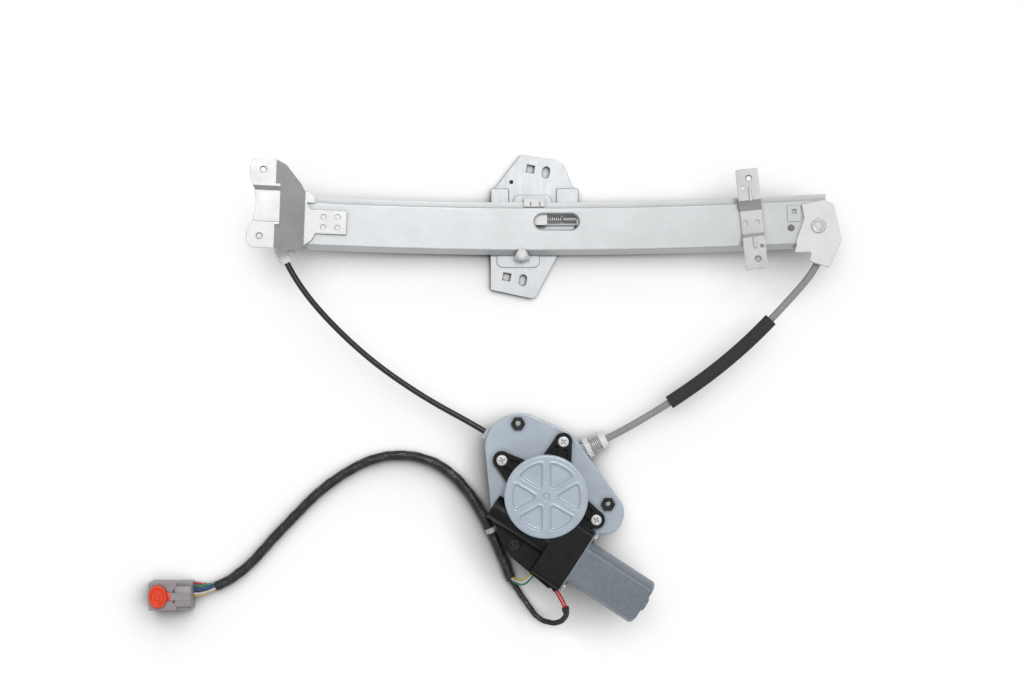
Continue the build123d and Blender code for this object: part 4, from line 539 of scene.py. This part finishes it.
def strand(name, line, offset_at, radius, colour):
    """A thin wire beside a line; offset_at(part of the way) gives its sideways and upward distance."""
    steps = len(line)
    shifted = []
    for i, place in enumerate(line):
        ahead = (line[min(i + 1, steps - 1)] - line[max(i - 1, 0)]).normalized()
        side = ahead.cross(Vector((0, 0, 1)))
        if side.length < 0.2:
            side = Vector((1, 0, 0))
        side.normalize()
        up = side.cross(ahead)
        across, above = offset_at(i / (steps - 1))
        shifted.append(place + side * across + up * above)
    data = tube_mesh(name, shifted, lambda step, count, angle: radius, WIRE_SIDES)
    return link_piece(name, data, "frame", "harness_black", wire_colours[colour])


# ---------------------------------------------------------------- plug
# An oval clip with a sunk face, its latch, and a raised block with slots at the wires' end.
CLIP_HALF = (0.0074, 0.0092)
CLIP_CENTRE = (-0.3101, -0.1684)
CLIP_SIDES = 96
CLIP_SUNK = 0.0011
PAD_RISE = 0.0008
RIM_START = 0.9
SLOT_SIDES = ((-0.1740, -0.1712), (-0.1698, -0.1670), (-0.1656, -0.1628))
clip_low, clip_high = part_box("connector_clip")
plug_low, plug_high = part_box("connector_body")
plug_end = plug_high[0]
clip_edge = CLIP_CENTRE[0] + CLIP_HALF[0]


def clip_height(ring, angle):
    """Height of the clip's face: a rounded rim round a sunk floor with a raised pad."""
    rim = clip_high[2] - clip_low[2]
    level = rim - CLIP_SUNK * (1 - ease(min(1, max(0, (ring - 0.62) / 0.14))))
    pad = abs(ring * cos(angle)) < 0.24 and abs(ring * sin(angle)) < 0.34
    level += PAD_RISE if pad else 0
    if ring > RIM_START:
        level -= 0.0008 * (1 - sqrt(max(0, 1 - ((ring - RIM_START) / 0.1) ** 2)))
    return level


clip_rings = [0.04 * k for k in range(1, 23)]
clip_rings += [RIM_START + 0.1 * sin(radians(turn)) for turn in range(0, 91, 15)]
plug_clip = link_piece(
    "plug_clip",
    disc_mesh("plug_clip", CLIP_CENTRE, CLIP_HALF, clip_rings, CLIP_SIDES, clip_height, clip_low[2]),
    "frame",
    "clip_orange",
)
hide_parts("connector_clip")

# The latch, the block and its slots: two corners in the plan, the rise above the clip's foot, the finish.
plug_details = [
    ((clip_edge - 0.0012, -0.1718), (clip_edge + 0.0026, -0.1650), 0.0013, "clip_orange"),
    ((plug_end - 0.0128, -0.1766), (plug_end - 0.0004, -0.1602), 0.0007, "connector_grey"),
]
for near, far in SLOT_SIDES:
    plug_details.append(((plug_end - 0.0150, near), (plug_end - 0.0141, far), 0.00012, "black_plastic"))
for index, (low, high, rise, slot_name) in enumerate(plug_details, start=1):
    data = block_mesh(
        f"plug_detail_{index}",
        (*low, clip_low[2] - 0.0001),
        (*high, clip_low[2] + rise),
        min(0.0004, rise / 2),
    )
    link_piece(f"plug_detail_{index}", data, "frame", slot_name)

# ---------------------------------------------------------------- cords
# The routes are the same as the CAD part's, in mm.
HARNESS_ROUTE = (
    (-25.3, -157.0, 4.1),
    (-42.5, -110.5, 4.1),
    (-76.0, -63.0, 4.1),
    (-124.0, -51.5, 4.1),
    (-172.0, -74.5, 4.1),
    (-217.0, -120.5, 4.1),
    (-240.0, -147.0, 4.1),
    (-266.0, -164.5, 4.1),
    (-283.3, -164.5, 4.1),
)
TAIL_ROUTE = (
    (10.4, -162.33, 26.0),
    (17.73, -173.7, 26.0),
    (19.5, -185.0, 19.5),
    (10.0, -192.0, 11.5),
    (-4.0, -188.5, 5.5),
    (-16.0, -171.5, 2.7),
    (-25.29, -157.04, 2.7),
)
SENSOR_ROUTE = (
    (-8.6, -150.3, 21.0),
    (-12.6, -154.9, 21.0),
    (-18.0, -158.2, 14.0),
    (-24.3, -155.9, 6.4),
)
HARNESS_STEPS = 440
TAPED_SHARE = 0.951
TAIL_STEPS = 170
TAIL_BARE_STEPS = 30
SENSOR_STEPS = 40
OVERLAP_STEPS = 5
PLUG_WIRE_RADIUS = 0.00095
MOTOR_WIRE_RADIUS = 0.00078
SENSOR_WIRE_RADIUS = 0.00072

# The harness: a taped sleeve, with the wires bare between the tape's end and the connector.
harness_line = spaced(route_points("harness", HARNESS_ROUTE), HARNESS_STEPS)
sleeve_count = int(len(harness_line) * TAPED_SHARE)
sleeve_line = harness_line[:sleeve_count]
harness_radius_at = wrinkled(0.0040, 0.013, line_length(sleeve_line), 0.00035, 1.0)
harness = link_piece(
    "harness_sleeve",
    tube_mesh("harness_sleeve", sleeve_line, harness_radius_at, 32),
    "frame",
    "harness_black",
)
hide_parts("harness_tube")
bare_line = harness_line[sleeve_count - OVERLAP_STEPS :]
for index, (colour, near, far) in enumerate(
    (
        ("yellow", (-0.0022, 0.0004), (-0.0054, 0.0010)),
        ("white", (-0.0009, 0.0022), (-0.0032, 0.0022)),
        ("blue", (0.0010, 0.0021), (-0.0002, 0.0021)),
        ("green", (0.0022, 0.0002), (0.0028, 0.0019)),
        ("brown", (-0.0010, -0.0018), (-0.0040, -0.0012)),
        ("red", (0.0012, -0.0016), (0.0052, 0.0004)),
    ),
    start=1,
):

    def fan(part, near=near, far=far, index=index):
        mix = ease(part)
        sway = 0.0005 * sin(pi * part) * sin(2.1 * index)
        return (near[0] + (far[0] - near[0]) * mix + sway, near[1] + (far[1] - near[1]) * mix + sway)

    strand(f"plug_wire_{index}", bare_line, fan, PLUG_WIRE_RADIUS, colour)

# The motor's two leads: bare at the snout, then sleeved up to the harness.
tail_line = spaced(route_points("tail", TAIL_ROUTE), TAIL_STEPS)
tail_sleeve_line = tail_line[TAIL_BARE_STEPS:]
tail_bare_line = tail_line[: TAIL_BARE_STEPS + OVERLAP_STEPS]
tail_radius_at = wrinkled(0.0023, 0.009, line_length(tail_sleeve_line), 0.0003, 2.0, 0.35)
tail = link_piece(
    "motor_lead_sleeve",
    tube_mesh("motor_lead_sleeve", tail_sleeve_line, tail_radius_at, 28),
    "frame",
    "harness_black",
)
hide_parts("harness_tail")
for index, across in enumerate((-0.00088, 0.00088), start=1):

    def beside(part, across=across, index=index):
        return (across * (1 + 0.25 * sin(pi * part)), 0.0002 * sin(2 * pi * part + index))

    strand(f"motor_wire_{index}", tail_bare_line, beside, MOTOR_WIRE_RADIUS, "red")

# Three thin sensor wires from the housing into the harness.
sensor_line = spaced(route_points("sensor", SENSOR_ROUTE), SENSOR_STEPS)
for index, (colour, across, above) in enumerate(
    (("yellow", 0.0011, 0.0002), ("white", 0.0, 0.0011), ("green", -0.0011, 0.0001)), start=1
):

    def near_line(part, across=across, above=above, index=index):
        spread = 1 + 0.9 * sin(pi * part)
        return (across * spread, above + 0.0003 * sin(2 * pi * part + index))

    strand(f"sensor_wire_{index}", sensor_line, near_line, SENSOR_WIRE_RADIUS, colour)
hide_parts("sensor_leads")

# ---------------------------------------------------------------- threads
# A helical ridge just inside the wall of each threaded hole. Its dark finish is the blackened inserts'
# own colour, and in the bright steel ears it is painted shade inside the bore.
THREAD_PITCH = 0.001
THREAD_RIDGE = 0.00017
THREAD_GAP = 0.00003
THREAD_LEAD_IN = 0.0003
THREAD_STEPS = 28
for mount in frame["record"]["mounts"]:
    if mount["kind"] != "threaded_hole":
        continue
    axis = Vector(mount["axis"])
    start = Vector(mount["pos_m"])
    across = axis.orthogonal().normalized()
    sideways = axis.cross(across)
    ridge_radius = (mount["dims"]["r_mm"] * MM) - THREAD_RIDGE - THREAD_GAP
    depth = mount["dims"]["length_mm"] * MM - 2 * THREAD_LEAD_IN
    turns = depth / THREAD_PITCH
    coil = []
    for step in range(int(turns * THREAD_STEPS) + 1):
        angle = 2 * pi * step / THREAD_STEPS
        outward = across * cos(angle) + sideways * sin(angle)
        sunk = THREAD_LEAD_IN + THREAD_PITCH * step / THREAD_STEPS
        coil.append(start - axis * sunk + outward * ridge_radius)
    data = tube_mesh(f"thread_{mount['name']}", coil, lambda step, count, angle: THREAD_RIDGE, 6)
    link_piece(f"thread_{mount['name']}", data, "frame", "dark_insert")

# ---------------------------------------------------------------- lower shoe
# The nylon shoe ends in a smooth round knob.
KNOB_HALF = (0.0050, 0.0046)
KNOB_RISE = 0.0046
KNOB_SIDES = 64
shoe_low, shoe_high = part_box("lower_shoe")


def knob_height(ring, angle):
    """The same all round, so the angle isn't used."""
    return KNOB_RISE * sqrt(max(0, 1 - ring**2.6)) + 0.0001


knob_centre = ((shoe_low[0] + shoe_high[0]) / 2, shoe_low[1] + KNOB_HALF[1] + 0.0003)
knob_rings = [sin(radians(turn)) for turn in range(6, 91, 6)]
knob_bottom = shoe_high[2] - KNOB_RISE - 0.0002
knob = disc_mesh("shoe_knob", knob_centre, KNOB_HALF, knob_rings, KNOB_SIDES, knob_height, knob_bottom)
link_piece("shoe_knob", knob, "carrier", "white_nylon")

# ---------------------------------------------------------------- gear cover
# All in mm until the points are made.
GEAR_CENTRE = (2.4, -86.0)
LID_RADIUS = 33.4
LID_TOP = 44.0
LID_BOTTOM = 41.0
LID_SIDES = 360
LID_EDGE = 1.6
LID_FOOT = 0.35
SPOKE_HALF = 2.7
SECTOR_INNER = 8.2
SECTOR_OUTER = 27.4
SECTOR_DEPTH = 1.35
WALL_WIDTH = 1.5
RIM_SWELL = 0.16
DIMPLE_DEPTH = 0.9
SHAFT_RISE = 0.6


def smooth_min(a, b, k):
    blend_part = max(k - abs(a - b), 0) / k
    return min(a, b) - blend_part * blend_part * k / 4


def step_up(edge_0, edge_1, value):
    return ease(min(1, max(0, (value - edge_0) / (edge_1 - edge_0))))


def lid_height(radius, angle):
    """Height of the cover's face: six sunk sectors with soft walls, a dimple and the shaft's end."""
    sector = (angle + pi / 6) % (pi / 3) - pi / 6
    inside = smooth_min(
        radius * sin(pi / 6 - sector) - SPOKE_HALF, radius * sin(pi / 6 + sector) - SPOKE_HALF, 2.2
    )
    inside = smooth_min(inside, SECTOR_OUTER - radius, 2.6)
    inside = smooth_min(inside, radius - SECTOR_INNER, 2.0)
    height = LID_TOP - SECTOR_DEPTH * step_up(-0.1, WALL_WIDTH, inside)
    height += RIM_SWELL * (step_up(-1.5, -0.5, inside) - step_up(-0.4, 0.5, inside))
    height -= DIMPLE_DEPTH * (1 - step_up(2.2, 3.2, radius))
    height += SHAFT_RISE * (1 - step_up(0.9, 1.7, radius))
    edge_start = LID_RADIUS - LID_EDGE
    if radius > edge_start:
        over = (radius - edge_start) / LID_EDGE
        height -= LID_EDGE * (1 - sqrt(max(0, 1 - over * over)))
    return height


def lid_ring(radius, height_at):
    """One ring of the cover's points, in metres."""
    ring = []
    for k in range(LID_SIDES):
        angle = 2 * pi * k / LID_SIDES
        x = (GEAR_CENTRE[0] + radius * cos(angle)) * MM
        y = (GEAR_CENTRE[1] + radius * sin(angle)) * MM
        ring.append((x, y, height_at(radius, angle) * MM))
    return ring


lid_radii = [0.35 * k for k in range(1, 10)] + [3.4 + 0.42 * k for k in range(68)]
lid_radii += [LID_RADIUS - LID_EDGE + LID_EDGE * sin(radians(turn)) for turn in range(0, 91, 10)]
lid_radii = sorted({round(min(r, LID_RADIUS), 3) for r in lid_radii})
lid_points = [(GEAR_CENTRE[0] * MM, GEAR_CENTRE[1] * MM, lid_height(0, 0) * MM)]
for radius in lid_radii:
    lid_points += lid_ring(radius, lid_height)
for level, inset in ((LID_BOTTOM + LID_FOOT, 0), (LID_BOTTOM, LID_FOOT)):
    lid_points += lid_ring(LID_RADIUS - inset, lambda radius, angle, level=level: level)
lid_mesh = mesh_from("pressed_gear_cover", lid_points, disc_faces(len(lid_radii) + 2, LID_SIDES))
lid = link_piece("pressed_gear_cover", lid_mesh, "frame", "blue_grey_plastic")
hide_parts("gear_cover")

# ---------------------------------------------------------------- world and sun
# Diffuse light falls mostly from overhead. Mirrored, the lamps stand round a darker patch overhead.
WHITE = (1, 1, 1, 1)
DOME_BAND = (0.1, 0.95)
DOME_LEVELS = (0.2, 0.66)
LAMP_STOPS = ((0.0, 0.22), (0.45, 0.35), (0.62, 0.85), (0.84, 0.85), (0.975, 0.3))
SUN_ENERGY = 1.25
SUN_ANGLE = 22
SUN_FROM = (0.12, 0.35, 1.0)
world = bpy.data.worlds.new("studio")
bpy.context.scene.world = world
world.use_nodes = True
sky = Nodes(world.node_tree)
rays = sky.add("ShaderNodeLightPath")
parts = sky.add("ShaderNodeSeparateXYZ")
sky.link(sky.add("ShaderNodeTexCoord").outputs["Generated"], parts.inputs[0])
dome = sky.add("ShaderNodeBackground", Color=WHITE)
dome_level = sky.map_range(parts.outputs["Z"], DOME_BAND, DOME_LEVELS, interpolation_type="SMOOTHSTEP")
sky.link(dome_level, dome.inputs["Strength"])
lamps = sky.add("ShaderNodeValToRGB")
lamps.color_ramp.interpolation = "EASE"
while len(lamps.color_ramp.elements) < len(LAMP_STOPS):
    lamps.color_ramp.elements.new(0.5)
for stop, (place, level) in zip(lamps.color_ramp.elements, LAMP_STOPS):
    stop.position = place
    stop.color = (level, level, level, 1)
sky.link(parts.outputs["Z"], lamps.inputs["Fac"])
mirrored = sky.add("ShaderNodeBackground", Color=WHITE)
sky.link(lamps.outputs["Color"], mirrored.inputs["Strength"])
backdrop = sky.add("ShaderNodeBackground", Color=WHITE, Strength=1.0)
seen = sky.either(rays.outputs["Is Camera Ray"], rays.outputs["Is Transmission Ray"])
lit = sky.mix_shader(rays.outputs["Is Glossy Ray"], dome.outputs[0], mirrored.outputs[0])
everything = sky.mix_shader(seen, lit, backdrop.outputs[0])
sky.link(everything, sky.add("ShaderNodeOutputWorld").inputs["Surface"])

sun_data = bpy.data.lights.new("key", "SUN")
sun_data.energy = SUN_ENERGY
sun_data.angle = radians(SUN_ANGLE)
sun = bpy.data.objects.new("key", sun_data)
sun.rotation_euler = Vector(SUN_FROM).to_track_quat("Z", "Y").to_euler()
bpy.context.scene.collection.objects.link(sun)

# ---------------------------------------------------------------- floor
# Seen or mirrored, it glows white, with a painted soft shadow that leans to one side. Other light meets
# grey.
# From below it is clear, so that the back of the part can be seen.
FLOOR_REACH = 8.0
FLOOR_DROP = 0.0002
SHADOW_REACH = 0.05
SHADOW_LEAN = (0.42, 0.5, 1.0)
SHADOW_BAND = (0.36, 0.93)
SHADOW_LEVELS = (0.02, 1.0)
floor_material = bpy.data.materials.new("floor")
floor_material.use_nodes = True
ground = Nodes(floor_material.node_tree)
rays = ground.add("ShaderNodeLightPath")
grey = ground.add("ShaderNodeBsdfDiffuse", Color=(0.83, 0.83, 0.83, 1))
# Painted shadow: the floor's glow is dimmed where the part is near above it, measured along a leaning
# direction.
shade = ground.add("ShaderNodeAmbientOcclusion", samples=24, inside=False, Distance=SHADOW_REACH)
lean = ground.add("ShaderNodeCombineXYZ", X=SHADOW_LEAN[0], Y=SHADOW_LEAN[1], Z=SHADOW_LEAN[2])
lean_unit = ground.add("ShaderNodeVectorMath", operation="NORMALIZE")
ground.link(lean.outputs[0], lean_unit.inputs[0])
ground.link(lean_unit.outputs[0], shade.inputs["Normal"])
floor_place = ground.add("ShaderNodeTexCoord").outputs["Object"]
cloud = ground.noise(floor_place, Scale=3.0, Detail=2.0)
glow = ground.add("ShaderNodeEmission")
ground.link(ground.mix_colour(cloud, (1.0, 1.0, 1.0), (0.995, 0.997, 1.0)), glow.inputs["Color"])
ground.link(ground.map_range(shade.outputs["AO"], SHADOW_BAND, SHADOW_LEVELS), glow.inputs["Strength"])
seen = ground.either(rays.outputs["Is Camera Ray"], rays.outputs["Is Glossy Ray"])
upper = ground.mix_shader(seen, grey.outputs[0], glow.outputs[0])
clear = ground.add("ShaderNodeBsdfTransparent")
behind = ground.add("ShaderNodeNewGeometry").outputs["Backfacing"]
whole = ground.mix_shader(behind, upper, clear.outputs[0])
ground.link(whole, ground.add("ShaderNodeOutputMaterial").inputs["Surface"])
floor_corners = [
    (-FLOOR_REACH, -FLOOR_REACH, 0),
    (FLOOR_REACH, -FLOOR_REACH, 0),
    (FLOOR_REACH, FLOOR_REACH, 0),
    (-FLOOR_REACH, FLOOR_REACH, 0),
]
floor = bpy.data.objects.new("floor", mesh_from("floor", floor_corners, [(0, 1, 2, 3)]))
floor.location.z = -FLOOR_DROP
floor.data.materials.append(floor_material)
bpy.context.scene.collection.objects.link(floor)

bpy.context.scene.view_settings.view_transform = "Standard"
